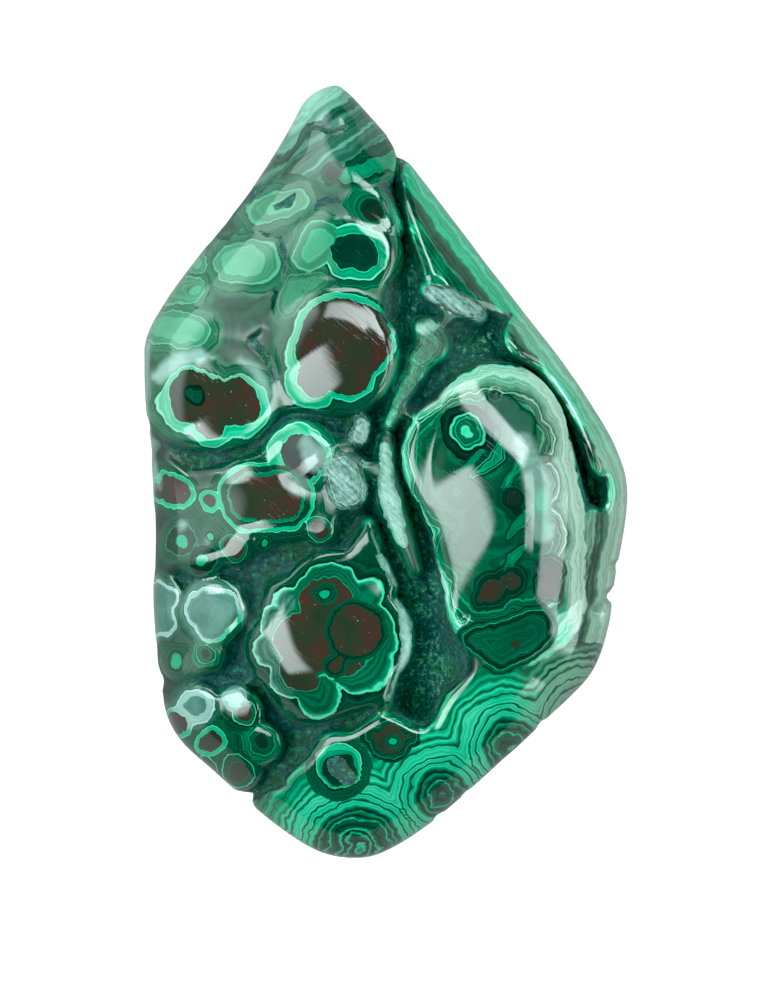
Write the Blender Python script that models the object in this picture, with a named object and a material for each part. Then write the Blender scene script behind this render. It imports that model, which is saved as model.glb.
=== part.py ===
"""A freeform of polished malachite, 77 mm long, lying on its ground back with the show face up.

It is one stone. The polished tops of its nodules follow one pebble shape, and the dark
ground between them falls away in clefts. Lengths below are in millimetres, in a frame whose
origin is the middle of the resting face: X to the right and Y up in plan, Z away from the
surface that the stone lies on.
"""

import math

import bmesh
import bpy
import numpy as np
from mathutils import Vector, noise

MM = 0.001

# The pebble
RIM_HEIGHT = 12.6  # of the widest girdle above the resting face
CROWN = 13.6  # rise of the polished face above the girdle
BELLY = 13.6  # drop of the back below the girdle, 1 mm of which is ground off as the rest
BELLY_SHOULDER = 2.5  # how square the back's profile is; 2 is an ellipse
# How square the face's profile is in each direction: degrees from the right, squareness
SHOULDERS = (
    (0, 2.2), (60, 2.1), (98, 2.0), (145, 2.8), (172, 4.0), (200, 3.0), (235, 2.4), (290, 2.3),
)
SOFT_ANGLE = 9.0  # degrees over which the outline's corners are smoothed for the crown
FINE_LEVEL = 7  # subdivisions of the sphere that the pebble starts as
WEAR_PASSES = 3  # rounds of smoothing, which wear the edges of the relief soft
MOST_TRIANGLES = 9400

# The relief
SEAM_DEPTH = 0.08  # of the ground in the thin seams between nodules
CLIFF = 1.1  # how far out from a nodule's edge the ground reaches its depth
SHOULDER_WIDTH = 1.2  # of the worn edge of each nodule
SHOULDER_DROP = 0.75  # of that edge, beside a deep cleft
CLEFT_SPREAD = 1.5  # times a cleft's radius, where its slope begins
PIT_SPREAD = 1.6  # times a pit's radius, where its slope begins
BACK_RELIEF = 0.3  # share of the relief that the polished back keeps
BACK_BELOW, FACE_ABOVE = 7.0, 1.5  # from the girdle to where the back and the face have their own
DOME_FACING = 0.6  # upward part of the normal from which the domes have their full rise
REST_MARGIN = 4.0  # height above the rest over which the relief fades out
SWAY = 4.5  # how far the nodules wander between the face and the back
# Unevenness as (swing, fineness per millimetre, seed): of the ground, and of the whole stone
CRUMBLE = ((0.12, 0.5, 1),)
LUMPS = ((0.25, 0.07, 2), (0.12, 0.16, 3))

# The stone's outline in plan, anticlockwise from the right
OUTLINE = (
    (24.2, -2.8), (23.0, 2.2), (20.1, 7.2), (16.0, 13.1), (11.4, 19.0), (6.9, 25.0),
    (2.2, 31.0), (-1.6, 35.5), (-3.9, 38.0), (-5.4, 38.6), (-8.0, 37.2), (-9.9, 34.0),
    (-13.6, 28.0), (-18.1, 22.0), (-21.6, 17.2), (-23.8, 13.2), (-24.0, 9.4), (-23.5, 2.0),
    (-23.1, -6.0), (-23.1, -14.0), (-22.4, -21.5), (-20.8, -26.1), (-16.6, -30.4),
    (-11.4, -35.0), (-6.9, -37.9), (-3.0, -38.6), (0.2, -37.8), (4.6, -35.0), (9.9, -30.5),
    (14.8, -26.0), (18.2, -22.9), (20.8, -19.8), (22.3, -15.5), (23.0, -11.0),
)

# A chain is circles (x, y, radius), each one joined to the next by a tapering bar
NODULE_CHAINS = {
    "north_eye": [[(-13.6, 25.6, 1.7), (-11.0, 26.2, 2.7), (-8.9, 26.5, 2.2)]],
    "grey_eye": [[(-15.1, 20.4, 3.0), (-13.1, 20.3, 3.2)]],
    "under_grey": [[(-16.6, 16.7, 1.0), (-13.9, 16.3, 1.1)]],
    "west_lobes": [[(-18.7, 21.5, 1.2), (-19.7, 18.4, 1.9), (-22.0, 17.5, 2.0)]],
    "west_eye": [[(-23.0, 13.6, 2.4), (-20.6, 13.9, 2.6), (-18.5, 13.5, 2.1)]],
    "leaf": [[(-12.6, 15.9, 0.9), (-13.7, 14.6, 1.2)]],
    "twin_eye": [[(-3.1, 26.3, 1.2), (-1.2, 25.9, 1.8), (0.3, 24.1, 1.3)]],
    "dark_eye": [[(-5.9, 21.9, 3.5), (-2.2, 21.4, 3.6)]],
    "great_dome": [[(-7.6, 16.2, 2.8), (-5.6, 13.3, 5.3), (-4.6, 11.2, 5.9)]],
    "clover": [[(-20.8, 7.9, 4.5), (-18.6, 7.5, 5.2), (-15.7, 7.3, 5.1)]],
    "double_eye": [[(-13.2, -2.4, 3.7), (-10.4, -2.5, 4.0)], [(-8.4, 1.7, 3.2)]],
    "rim_eye": [[(-20.6, -2.3, 1.9), (-22.8, -1.2, 2.4)]],
    "bead": [[(-17.5, -2.8, 1.6), (-16.6, -1.4, 1.1)], [(-18.6, -1.2, 1.0), (-16.2, -0.9, 0.9)]],
    "rough_pebble": [[(-4.1, -0.2, 1.9), (-3.7, -2.0, 1.9)]],
    "rice_grain": [[(-2.4, 4.6, 0.8), (-2.7, 3.3, 0.9)]],
    "olive_bead": [[(-6.5, -5.8, 1.6)]],
    "green_beads": [
        [(-20.3, -6.7, 1.9), (-19.4, -5.0, 0.9)], [(-18.0, -8.8, 1.9)], [(-14.9, -7.6, 1.6)],
        [(-12.0, -7.2, 0.8)], [(-17.2, -6.2, 1.1)],
    ],
    "moon": [[(-17.1, -13.9, 3.4)]],
    "mottled_beads": [[(-20.6, -18.7, 2.1), (-17.7, -18.3, 1.8)]],
    "edge_moon": [[(-22.5, -12.8, 2.3), (-22.5, -14.8, 2.2)]],
    "heart": [
        [(-8.8, -14.2, 3.5), (-5.2, -12.8, 4.9), (-2.2, -16.5, 4.8), (-0.3, -23.2, 0.6)],
        [(-10.3, -17.5, 3.4), (-7.2, -20.5, 4.3)],
        [(-2.2, -11.0, 3.2), (-1.7, -5.3, 0.5)],
        [(-5.6, -16.5, 4.5)],
    ],
    "corner_beads": [
        [(-18.8, -23.6, 2.4)], [(-14.5, -23.9, 2.3)], [(-12.4, -27.1, 2.1)],
        [(-20.9, -24.9, 2.2), (-17.3, -27.0, 2.4), (-14.6, -29.8, 2.2)],
    ],
    "egg": [
        [(11.2, 3.8, 6.7), (12.0, -4.5, 7.6), (12.9, -12.5, 6.9)],
        [(7.6, 1.3, 6.0), (9.6, -2.4, 6.2)],
    ],
    "ledge": [[(4.3, 17.8, 0.8), (6.7, 16.7, 1.3), (9.1, 15.5, 0.8)]],
    "fragment": [[(3.7, 14.1, 1.0), (4.6, 12.3, 1.6), (3.2, 10.8, 1.1)]],
    "ridge": [[(3.4, 10.9, 1.1), (2.5, 9.0, 0.9), (1.3, 6.8, 0.7), (0.3, 4.4, 0.5)]],
    "spindle": [
        [(0.0, 3.0, 0.6), (-0.1, -0.3, 1.1), (0.7, -3.6, 1.2), (1.9, -7.0, 0.9), (2.9, -9.8, 0.5)],
    ],
}

# A loop is points on a smooth closed outline. Those beyond the stone's own outline only
# carry the shape past its edge.
NODULE_LOOPS = {
    "cap": [
        (0.7, 32.8), (-1.5, 37.5), (-5.0, 41.0), (-10.5, 39.0), (-14.0, 32.0), (-16.5, 27.0),
        (-15.2, 25.9), (-13.4, 27.6), (-11.2, 29.0), (-9.2, 29.4), (-7.0, 28.6), (-3.5, 28.0),
        (-1.0, 28.2), (0.5, 28.9), (0.9, 30.3),
    ],
    "upper_flank": [
        (1.6, 31.0), (1.8, 28.0), (2.1, 25.0), (2.7, 22.5), (3.4, 20.5), (4.1, 18.6),
        (5.6, 18.2), (7.6, 17.3), (10.3, 16.0), (12.4, 15.7), (14.0, 15.8), (17.0, 18.0),
        (9.0, 29.0), (3.0, 36.0),
    ],
    "right_flank": [
        (12.4, 14.8), (11.8, 12.8), (12.8, 11.3), (15.5, 10.1), (17.5, 7.6), (19.0, 4.9),
        (19.9, 1.8), (20.7, -0.2), (22.0, -0.9), (22.2, -2.7), (21.5, -4.1), (19.8, -4.0),
        (17.5, -8.0), (18.0, -17.0), (22.0, -21.0), (27.0, -12.0), (27.0, 0.0), (22.0, 9.0),
        (15.5, 18.0),
    ],
    "agate": [
        (-12.4, -32.5), (-10.1, -31.2), (-9.7, -30.2), (-7.6, -28.3), (-6.6, -26.6),
        (-5.6, -25.8), (-3.6, -25.7), (-1.5, -24.4), (-0.5, -23.9), (0.7, -24.2), (3.2, -25.3),
        (4.5, -25.0), (5.4, -23.2), (6.4, -21.7), (8.4, -20.2), (10.5, -18.8), (14.0, -17.0),
        (20.0, -17.0), (25.0, -20.0), (16.0, -33.0), (4.0, -42.0), (-8.0, -43.0), (-16.0, -36.0),
    ],
}

# Clefts as chains of (x, y, radius, depth): how deep the ground lies where no nodule stands
CLEFTS = {
    "main": [
        (0.9, 32.3, 1.2, 1.6), (1.4, 29.0, 1.6, 3.0), (1.8, 25.0, 1.7, 4.0), (2.3, 21.0, 1.9, 4.6),
        (2.8, 17.0, 2.6, 4.6), (2.0, 12.0, 2.2, 4.6), (0.4, 8.0, 1.9, 4.2), (-0.9, 4.0, 1.8, 4.0),
        (-1.3, -1.0, 1.8, 4.4), (-0.6, -5.0, 1.9, 4.4), (1.2, -9.0, 2.2, 5.0),
        (3.3, -14.0, 3.0, 5.6), (3.9, -19.0, 3.6, 7.0), (2.9, -23.2, 3.2, 8.6),
    ],
    "beside_spindle": [
        (1.4, 3.5, 1.6, 4.0), (1.4, -1.0, 1.6, 4.6), (3.0, -6.0, 1.7, 4.8), (4.8, -12.0, 1.8, 5.4),
    ],
    "hollow": [
        (3.4, 7.0, 1.6, 3.6), (6.5, 11.0, 2.4, 4.4), (10.3, 13.2, 2.8, 4.8), (12.2, 11.2, 1.8, 4.2),
    ],
    "groove": [
        (13.2, 10.6, 1.6, 3.8), (15.9, 8.3, 1.8, 4.8), (18.4, 4.2, 1.9, 5.2),
        (19.8, 0.3, 2.0, 5.6), (20.9, -2.4, 2.0, 5.2),
    ],
    "middle": [
        (-1.6, 6.6, 1.6, 2.8), (-4.0, 4.4, 1.5, 1.8), (-9.8, 4.9, 1.1, 1.1),
        (-14.0, 2.0, 1.2, 1.2), (-18.6, 0.9, 1.4, 1.3), (-22.3, 2.6, 1.0, 0.6),
    ],
    "lower_middle": [
        (-1.8, -4.4, 1.6, 3.0), (-6.2, -7.9, 1.4, 2.0), (-10.6, -8.8, 1.9, 1.6),
        (-14.0, -10.4, 1.6, 1.7), (-19.8, -10.8, 1.4, 1.2),
    ],
    "west_gap": [
        (-13.2, -11.0, 1.6, 1.8), (-13.7, -15.5, 1.4, 2.2), (-14.4, -19.6, 1.6, 2.0),
        (-16.8, -20.6, 1.5, 1.6), (-20.5, -21.0, 1.2, 0.8), (-22.6, -20.4, 1.2, 0.3),
    ],
    "under_heart": [
        (-12.4, -22.4, 2.0, 2.6), (-9.2, -26.2, 2.2, 2.8), (-4.6, -25.4, 1.2, 2.0),
        (-1.0, -24.1, 1.0, 2.0),
    ],
    "corner_gap": [(-9.2, -27.4, 1.8, 2.6), (-11.4, -30.7, 1.5, 1.8), (-14.2, -33.0, 1.2, 1.0)],
    "west_triangle": [(-12.4, 12.8, 1.3, 0.5), (-11.1, 9.9, 0.9, 0.6)],
    "north_gap": [(-6.2, 27.0, 1.2, 0.6)],
}

# Pits (x, y, radius, depth), which go through nodule and ground alike
PITS = (
    (10.7, 7.4, 0.55, 0.9), (7.5, -14.4, 0.5, 0.7), (22.6, -12.6, 0.7, 1.7),
    (21.0, -14.2, 0.9, 1.3), (22.9, -9.6, 0.5, 0.8), (15.6, -25.4, 0.6, 0.9),
    (8.1, -32.3, 0.5, 0.6), (5.4, -34.6, 0.6, 0.6), (-23.8, 4.6, 0.6, 0.8),
)

# Domes of the nodules (x, y, half width, half length, lean in degrees, rise, squareness)
DOMES = (
    (12.4, -3.2, 8.2, 13.4, 5, 2.6, 2.0), (-4.7, 11.4, 6.6, 6.5, 0, 1.6, 2.0),
    (-17.3, 7.4, 6.8, 5.8, 0, 0.4, 3.0), (-11.9, -2.4, 5.2, 4.2, 0, 0.25, 3.0),
    (-8.4, 1.9, 3.5, 3.4, 0, 0.7, 2.0), (-5.4, -16.2, 7.9, 9.2, 10, 0.9, 3.0),
    (-17.1, -13.9, 3.6, 3.6, 0, 0.3, 2.0), (-22.8, -13.9, 2.6, 3.4, 0, 0.6, 2.0),
    (-3.8, 21.8, 5.4, 4.2, 0, 0.4, 2.0), (-14.2, 20.4, 4.4, 3.4, 0, 0.3, 2.0),
    (-20.4, 13.8, 3.8, 3.0, 0, 0.3, 2.0), (12.2, -26.6, 7.0, 6.6, 0, 0.9, 2.0),
    (3.6, -31.5, 8.0, 6.0, 0, 0.6, 2.0), (-17.0, -25.4, 5.2, 4.6, 0, 0.6, 2.0),
    (-3.9, -1.1, 2.3, 3.3, 0, 0.4, 2.0), (-18.8, -23.4, 2.6, 2.6, 0, 0.4, 2.0),
)

# Slopes that some nodules were polished to (x, y, radius, fall to the right, fall upwards)
TILTS = (
    (-17.8, 7.2, 6.0, 0.30, 0.15), (-12.2, -2.4, 4.6, 0.10, 0.34), (-4.7, 11.4, 6.0, 0.10, -0.04),
    (-5.4, -16.0, 7.5, 0.34, 0.24), (-17.1, -13.9, 4.2, -0.14, 0.42), (-8.4, 1.9, 3.2, -0.30, 0.30),
    (-4.0, 33.0, 7.0, -0.24, 0.0), (-1.5, 23.5, 4.5, 0.0, -0.14), (-18.8, -5.5, 5.6, 0.0, 0.42),
    (-18.6, -18.4, 3.4, 0.0, 0.40),
)

MALACHITE_GREEN = (0.010, 0.190, 0.085, 1.0)


def smooth_step(low, high, value):
    """0 below low, 1 above high, and an S curve between them."""
    share = np.clip((value - low) / (high - low), 0.0, 1.0)
    return share * share * (3.0 - 2.0 * share)


def smooth_loop(points, steps=8):
    """Points on a closed Catmull-Rom curve through the given ones."""
    knots = np.array(points, float)
    before, after, beyond = (np.roll(knots, shift, axis=0) for shift in (1, -1, -2))
    rows = []
    for share in np.arange(steps) / steps:
        rows.append(
            0.5
            * (
                2.0 * knots
                + (after - before) * share
                + (2.0 * before - 5.0 * knots + 4.0 * after - beyond) * share**2
                + (3.0 * knots - before - 3.0 * after + beyond) * share**3
            )
        )
    return np.stack(rows, axis=1).reshape(-1, 2)


def along_link(plan, start, end):
    """How far along a link each plan point lies, from 0 to 1, and its distance from the link."""
    start = np.array(start[:2])
    run = np.array(end[:2]) - start
    share = np.clip((plan - start) @ run / max(run @ run, 1e-9), 0.0, 1.0)
    return share, np.linalg.norm(plan - start - share[:, None] * run, axis=1)


def inside_chain(plan, circles):
    """How far inside a chain each plan point lies, negative outside."""
    best = np.full(len(plan), -np.inf)
    for first, second in list(zip(circles, circles[1:])) or [(circles[0], circles[0])]:
        share, distance = along_link(plan, first, second)
        best = np.maximum(best, first[2] + (second[2] - first[2]) * share - distance)
    return best


def inside_loop(plan, points):
    """How far inside a smooth closed loop each plan point lies, negative outside."""
    ends = smooth_loop(points)
    nearest = np.full(len(plan), np.inf)
    crossings = np.zeros(len(plan), int)
    for start, end in zip(ends, np.roll(ends, -1, axis=0)):
        nearest = np.minimum(nearest, along_link(plan, start, end)[1])
        run = end - start
        spans = (start[1] > plan[:, 1]) != (end[1] > plan[:, 1])
        crossed_at = start[0] + run[0] * (plan[:, 1] - start[1]) / (run[1] or 1e-12)
        crossings += spans & (plan[:, 0] < crossed_at)
    return np.where(crossings % 2 == 1, nearest, -nearest)


def inside_nodules(plan):
    """How far inside the nearest nodule each plan point lies, negative in the ground."""
    best = np.full(len(plan), -np.inf)
    for chains in NODULE_CHAINS.values():
        for circles in chains:
            best = np.maximum(best, inside_chain(plan, circles))
    for points in NODULE_LOOPS.values():
        best = np.maximum(best, inside_loop(plan, points))
    return best


def ground_depth(plan):
    """Depth of the ground below the polished face."""
    depth = np.full(len(plan), SEAM_DEPTH)
    for cleft in CLEFTS.values():
        for first, second in list(zip(cleft, cleft[1:])) or [(cleft[0], cleft[0])]:
            share, distance = along_link(plan, first, second)
            reach = (first[2] + (second[2] - first[2]) * share) * CLEFT_SPREAD
            deep = first[3] + (second[3] - first[3]) * share
            depth = np.maximum(depth, deep * smooth_step(reach, 0.0, distance))
    return depth


def dome_rise(plan):
    """Rise of the polished face over each plan point, from its domes and tilts."""
    rise = np.zeros(len(plan))
    for x, y, half_width, half_length, lean, height, power in DOMES:
        turn = math.radians(lean)
        across = (plan[:, 0] - x) * math.cos(turn) + (plan[:, 1] - y) * math.sin(turn)
        along = (plan[:, 1] - y) * math.cos(turn) - (plan[:, 0] - x) * math.sin(turn)
        share = 1.0 - np.hypot(across / half_width, along / half_length) ** power
        rise += height * 0.5 * (share + np.sqrt(share**2 + 0.01))
    for x, y, radius, east, north in TILTS:
        shift = plan - (x, y)
        rise -= (shift @ (east, north)) * np.exp(-((np.linalg.norm(shift, axis=1) / radius) ** 4))
    return rise


def rough(places, scale, seed):
    """Soft noise from -1 to 1 at each place, the same each run."""
    offset = Vector((seed * 7.31, seed * 3.17, seed * 5.77))
    return np.array([noise.noise(Vector(place) * scale + offset) for place in places])


def outline_radius(angles, soften=False):
    """The outline's distance from the middle at each angle, in radians."""
    ends = smooth_loop(OUTLINE, 24)
    around = np.arctan2(ends[:, 1], ends[:, 0])
    order = np.argsort(around)
    around, radius = around[order], np.hypot(ends[:, 0], ends[:, 1])[order]
    even = np.linspace(-math.pi, math.pi, 721)[:-1]
    radius = np.interp(even, around, radius, period=2.0 * math.pi)
    if soften:
        sigma = math.radians(SOFT_ANGLE)
        apart = (even[:, None] - even[None, :] + math.pi) % (2.0 * math.pi) - math.pi
        weight = np.exp(-0.5 * (apart / sigma) ** 2)
        radius = weight @ radius / weight.sum(axis=1)
    return np.interp(angles, even, radius, period=2.0 * math.pi)


def pebble(directions):
    """The plain pebble's surface point for each direction on a unit sphere."""
    angles = np.arctan2(directions[:, 1], directions[:, 0])
    level = np.clip(directions[:, 2], -1.0, 1.0)
    stops, squareness = np.array(SHOULDERS, float).T
    crown = np.interp(np.degrees(angles) % 360.0, stops, squareness, period=360.0)
    power = 2.0 / np.where(level > 0.0, crown, BELLY_SHOULDER)
    out = np.sqrt(1.0 - level**2) ** power
    up = np.abs(level) ** power * np.where(level > 0.0, CROWN, -BELLY)
    soft, sharp = outline_radius(angles, soften=True), outline_radius(angles)
    reach = out * (soft + (sharp - soft) * out**3)
    height = RIM_HEIGHT + up
    return np.stack((reach * np.cos(angles), reach * np.sin(angles), height), axis=1)


def swayed(places):
    """The plan point of the show face whose nodule runs down to each place."""
    depth = np.clip((RIM_HEIGHT + 3.0 - places[:, 2]) / (RIM_HEIGHT + 3.0), 0.0, 1.0)
    sway = SWAY * depth**2
    shift_x = sway * np.sin(0.21 * places[:, 1] + 0.33 * places[:, 2] + 1.0)
    shift_y = sway * np.sin(0.19 * places[:, 0] + 0.29 * places[:, 2] + 2.3)
    return places[:, :2] + np.stack((shift_x, shift_y), axis=1)


def relief(places, facing_up):
    """Outward shift of each pebble point: up on the domes, down at edges, clefts and pits."""
    plan = swayed(places)
    inside = inside_nodules(plan)
    ground = ground_depth(plan)
    shoulder = SHOULDER_DROP * (1.0 - np.exp(-ground / 1.2))
    edge = shoulder * np.clip(1.0 - inside / SHOULDER_WIDTH, 0.0, 1.0) ** 2
    edge = np.where(inside > 0.0, edge, shoulder)
    outside = np.maximum(-inside, 0.0)
    crumble = 1.0 + sum(swing * rough(places, fineness, seed) for swing, fineness, seed in CRUMBLE)
    floor = ground * crumble * smooth_step(0.0, CLIFF, outside)
    pits = np.zeros(len(plan))
    for x, y, radius, depth in PITS:
        distance = np.hypot(plan[:, 0] - x, plan[:, 1] - y)
        pits = np.maximum(pits, depth * smooth_step(radius * PIT_SPREAD, 0.0, distance))
    on_face = smooth_step(RIM_HEIGHT - BACK_BELOW, RIM_HEIGHT + FACE_ABOVE, places[:, 2])
    share = BACK_RELIEF + (1.0 - BACK_RELIEF) * on_face
    lumps = sum(swing * rough(places, fineness, seed) for swing, fineness, seed in LUMPS)
    clear_of_rest = smooth_step(0.0, REST_MARGIN, places[:, 2])
    domes = dome_rise(plan) * smooth_step(0.0, DOME_FACING, facing_up)
    return clear_of_rest * (share * (domes - edge - floor - pits) + lumps)


def relief_directions(normals):
    """Straight up on the show face, so that it keeps its plan, and outward elsewhere."""
    upright = smooth_step(0.3, 0.8, normals[:, 2])[:, None]
    return normals * (1.0 - upright) + np.array((0.0, 0.0, 1.0)) * upright


def read_points(mesh, what="co"):
    """The mesh's points, or their normals, one to a row."""
    flat = np.empty(len(mesh.vertices) * 3)
    mesh.vertices.foreach_get(what, flat)
    return flat.reshape(-1, 3)


def carve_stone(collection):
    """The stone as a dense mesh: a sphere drawn out into the pebble, then given its relief."""
    mesh = bpy.data.meshes.new("malachite")
    work = bmesh.new()
    bmesh.ops.create_icosphere(work, subdivisions=FINE_LEVEL, radius=1.0)
    work.to_mesh(mesh)
    work.free()
    directions = read_points(mesh)
    directions /= np.linalg.norm(directions, axis=1)[:, None]
    places = pebble(directions)
    mesh.vertices.foreach_set("co", places.ravel())
    mesh.update()
    normals = read_points(mesh, "normal")
    places += relief_directions(normals) * relief(places, normals[:, 2])[:, None]
    mesh.vertices.foreach_set("co", places.ravel() * MM)
    mesh.update()
    stone = bpy.data.objects.new("malachite", mesh)
    collection.objects.link(stone)
    return stone


def wear_and_thin_out(stone):
    """Softer edges, then fewer triangles, small ones only where the relief needs them."""
    wear = stone.modifiers.new("Wear", "SMOOTH")
    wear.iterations = WEAR_PASSES
    thinner = stone.modifiers.new("Fewer triangles", "DECIMATE")
    thinner.ratio = MOST_TRIANGLES / len(stone.data.polygons)
    graph = bpy.context.evaluated_depsgraph_get()
    mesh = bpy.data.meshes.new_from_object(stone.evaluated_get(graph))
    stone.modifiers.clear()
    stone.data = mesh


def grind_flat(stone):
    """Cuts the lowest part off level, as the face that the stone rests on."""
    work = bmesh.new()
    work.from_mesh(stone.data)
    bmesh.ops.bisect_plane(
        work,
        geom=work.verts[:] + work.edges[:] + work.faces[:],
        dist=1e-7,
        plane_co=(0.0, 0.0, 0.0),
        plane_no=(0.0, 0.0, -1.0),
        clear_outer=True,
    )
    rim = [edge for edge in work.edges if edge.is_boundary]
    bmesh.ops.contextual_create(work, geom=rim)
    bmesh.ops.recalc_face_normals(work, faces=work.faces[:])
    bmesh.ops.triangulate(work, faces=work.faces[:])
    work.to_mesh(stone.data)
    work.free()


def polished_green():
    material = bpy.data.materials.new("polished_malachite")
    material.use_nodes = True
    surface = material.node_tree.nodes["Principled BSDF"]
    surface.inputs["Base Color"].default_value = MALACHITE_GREEN
    surface.inputs["Roughness"].default_value = 0.12
    surface.inputs["Metallic"].default_value = 0.0
    surface.inputs["IOR"].default_value = 1.7
    return material


def main():
    for old in list(bpy.data.objects):
        bpy.data.objects.remove(old)
    collection = bpy.data.collections.new("malachite_freeform")
    bpy.context.scene.collection.children.link(collection)
    stone = carve_stone(collection)
    wear_and_thin_out(stone)
    grind_flat(stone)
    stone.data.shade_smooth()
    stone.data.materials.clear()
    stone.data.materials.append(polished_green())


main()
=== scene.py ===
# %% [markdown]
# # A polished freeform of malachite
# Malachite grows as crusts of rounded nodules, layer on layer, each layer a slightly different
# green. Sawn and polished, the nodules become eyes ringed like tree trunks, and where they
# never met the gaps stay open as dark clefts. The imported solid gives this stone's form and
# size. The cells below make the same form again much finer, draw its rings as distances from
# the places where growth began, and light it like a gem on white paper.

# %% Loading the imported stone
import math

import bmesh
import bpy
import numpy as np
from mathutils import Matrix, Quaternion, Vector, noise


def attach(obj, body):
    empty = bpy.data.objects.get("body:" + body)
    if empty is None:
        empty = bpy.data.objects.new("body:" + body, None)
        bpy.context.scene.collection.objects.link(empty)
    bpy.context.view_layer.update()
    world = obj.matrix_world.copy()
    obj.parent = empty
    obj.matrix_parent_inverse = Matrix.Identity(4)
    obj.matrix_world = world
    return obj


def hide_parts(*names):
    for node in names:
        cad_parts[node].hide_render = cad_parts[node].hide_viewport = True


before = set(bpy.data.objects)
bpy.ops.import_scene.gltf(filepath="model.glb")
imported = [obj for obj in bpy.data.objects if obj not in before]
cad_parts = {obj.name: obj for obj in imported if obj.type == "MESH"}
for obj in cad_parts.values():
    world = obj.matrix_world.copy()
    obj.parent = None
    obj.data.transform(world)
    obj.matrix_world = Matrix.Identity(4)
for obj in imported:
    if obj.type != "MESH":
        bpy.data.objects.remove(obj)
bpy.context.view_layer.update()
MM = 0.001

# %% [markdown]
# ## The camera
# The stone was photographed from straight above, lying on its back. A long lens from well
# above keeps the outline true. The height is chosen so that the frame is 98.5 mm tall at the
# stone's widest level, which puts the outline where the photograph has it.

# %% Camera above the stone
GIRDLE = 12.6
FRAME_HEIGHT = 98.5
LENS = 250.0


def set_camera():
    data = bpy.data.cameras.new("view_from_above")
    data.lens = LENS
    camera = bpy.data.objects.new("view_from_above", data)
    distance = FRAME_HEIGHT * LENS / 36.0
    camera.location = Vector((-0.2, -2.2, GIRDLE + distance)) * MM
    bpy.context.scene.collection.objects.link(camera)
    bpy.context.scene.camera = camera
    return camera


camera = set_camera()
print("camera height, mm:", round(camera.location.z / MM))

# %% [markdown]
# ## The form: pebble, nodules and clefts
# A tumbled stone is a soft, squarish pebble. Here it is a sphere drawn out to the outline, with
# a profile between an ellipse and a rounded box. The nodules' tops are then raised into low
# domes, and the ground between the nodules is let down into clefts. All of it is a shift of
# the pebble's surface, so a dense sphere is enough to carry it, and the face that shows the
# most gets four times as many triangles.

# %% Measures of the pebble, in millimetres
CROWN = 13.6
BELLY = 13.6
BELLY_SHOULDER = 2.5
SHOULDERS = (
    (0, 2.2), (60, 2.1), (98, 2.0), (145, 2.8), (172, 4.0), (200, 3.0), (235, 2.4), (290, 2.3),
)
SOFT_ANGLE = 9.0
SEAM_DEPTH = 0.08
CLIFF = 0.6
SHOULDER_WIDTH = 1.2
SHOULDER_DROP = 0.75
BACK_RELIEF = 0.3
SWAY = 4.5

OUTLINE = (
    (24.2, -2.8), (23.0, 2.2), (20.1, 7.2), (16.0, 13.1), (11.4, 19.0), (6.9, 25.0),
    (2.2, 31.0), (-1.6, 35.5), (-3.9, 38.0), (-5.4, 38.6), (-8.0, 37.2), (-9.9, 34.0),
    (-13.6, 28.0), (-18.1, 22.0), (-21.6, 17.2), (-23.8, 13.2), (-24.0, 9.4), (-23.5, 2.0),
    (-23.1, -6.0), (-23.1, -14.0), (-22.4, -21.5), (-20.8, -26.1), (-16.6, -30.4),
    (-11.4, -35.0), (-6.9, -37.9), (-3.0, -38.6), (0.2, -37.8), (4.6, -35.0), (9.9, -30.5),
    (14.8, -26.0), (18.2, -22.9), (20.8, -19.8), (22.3, -15.5), (23.0, -11.0),
)

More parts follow.
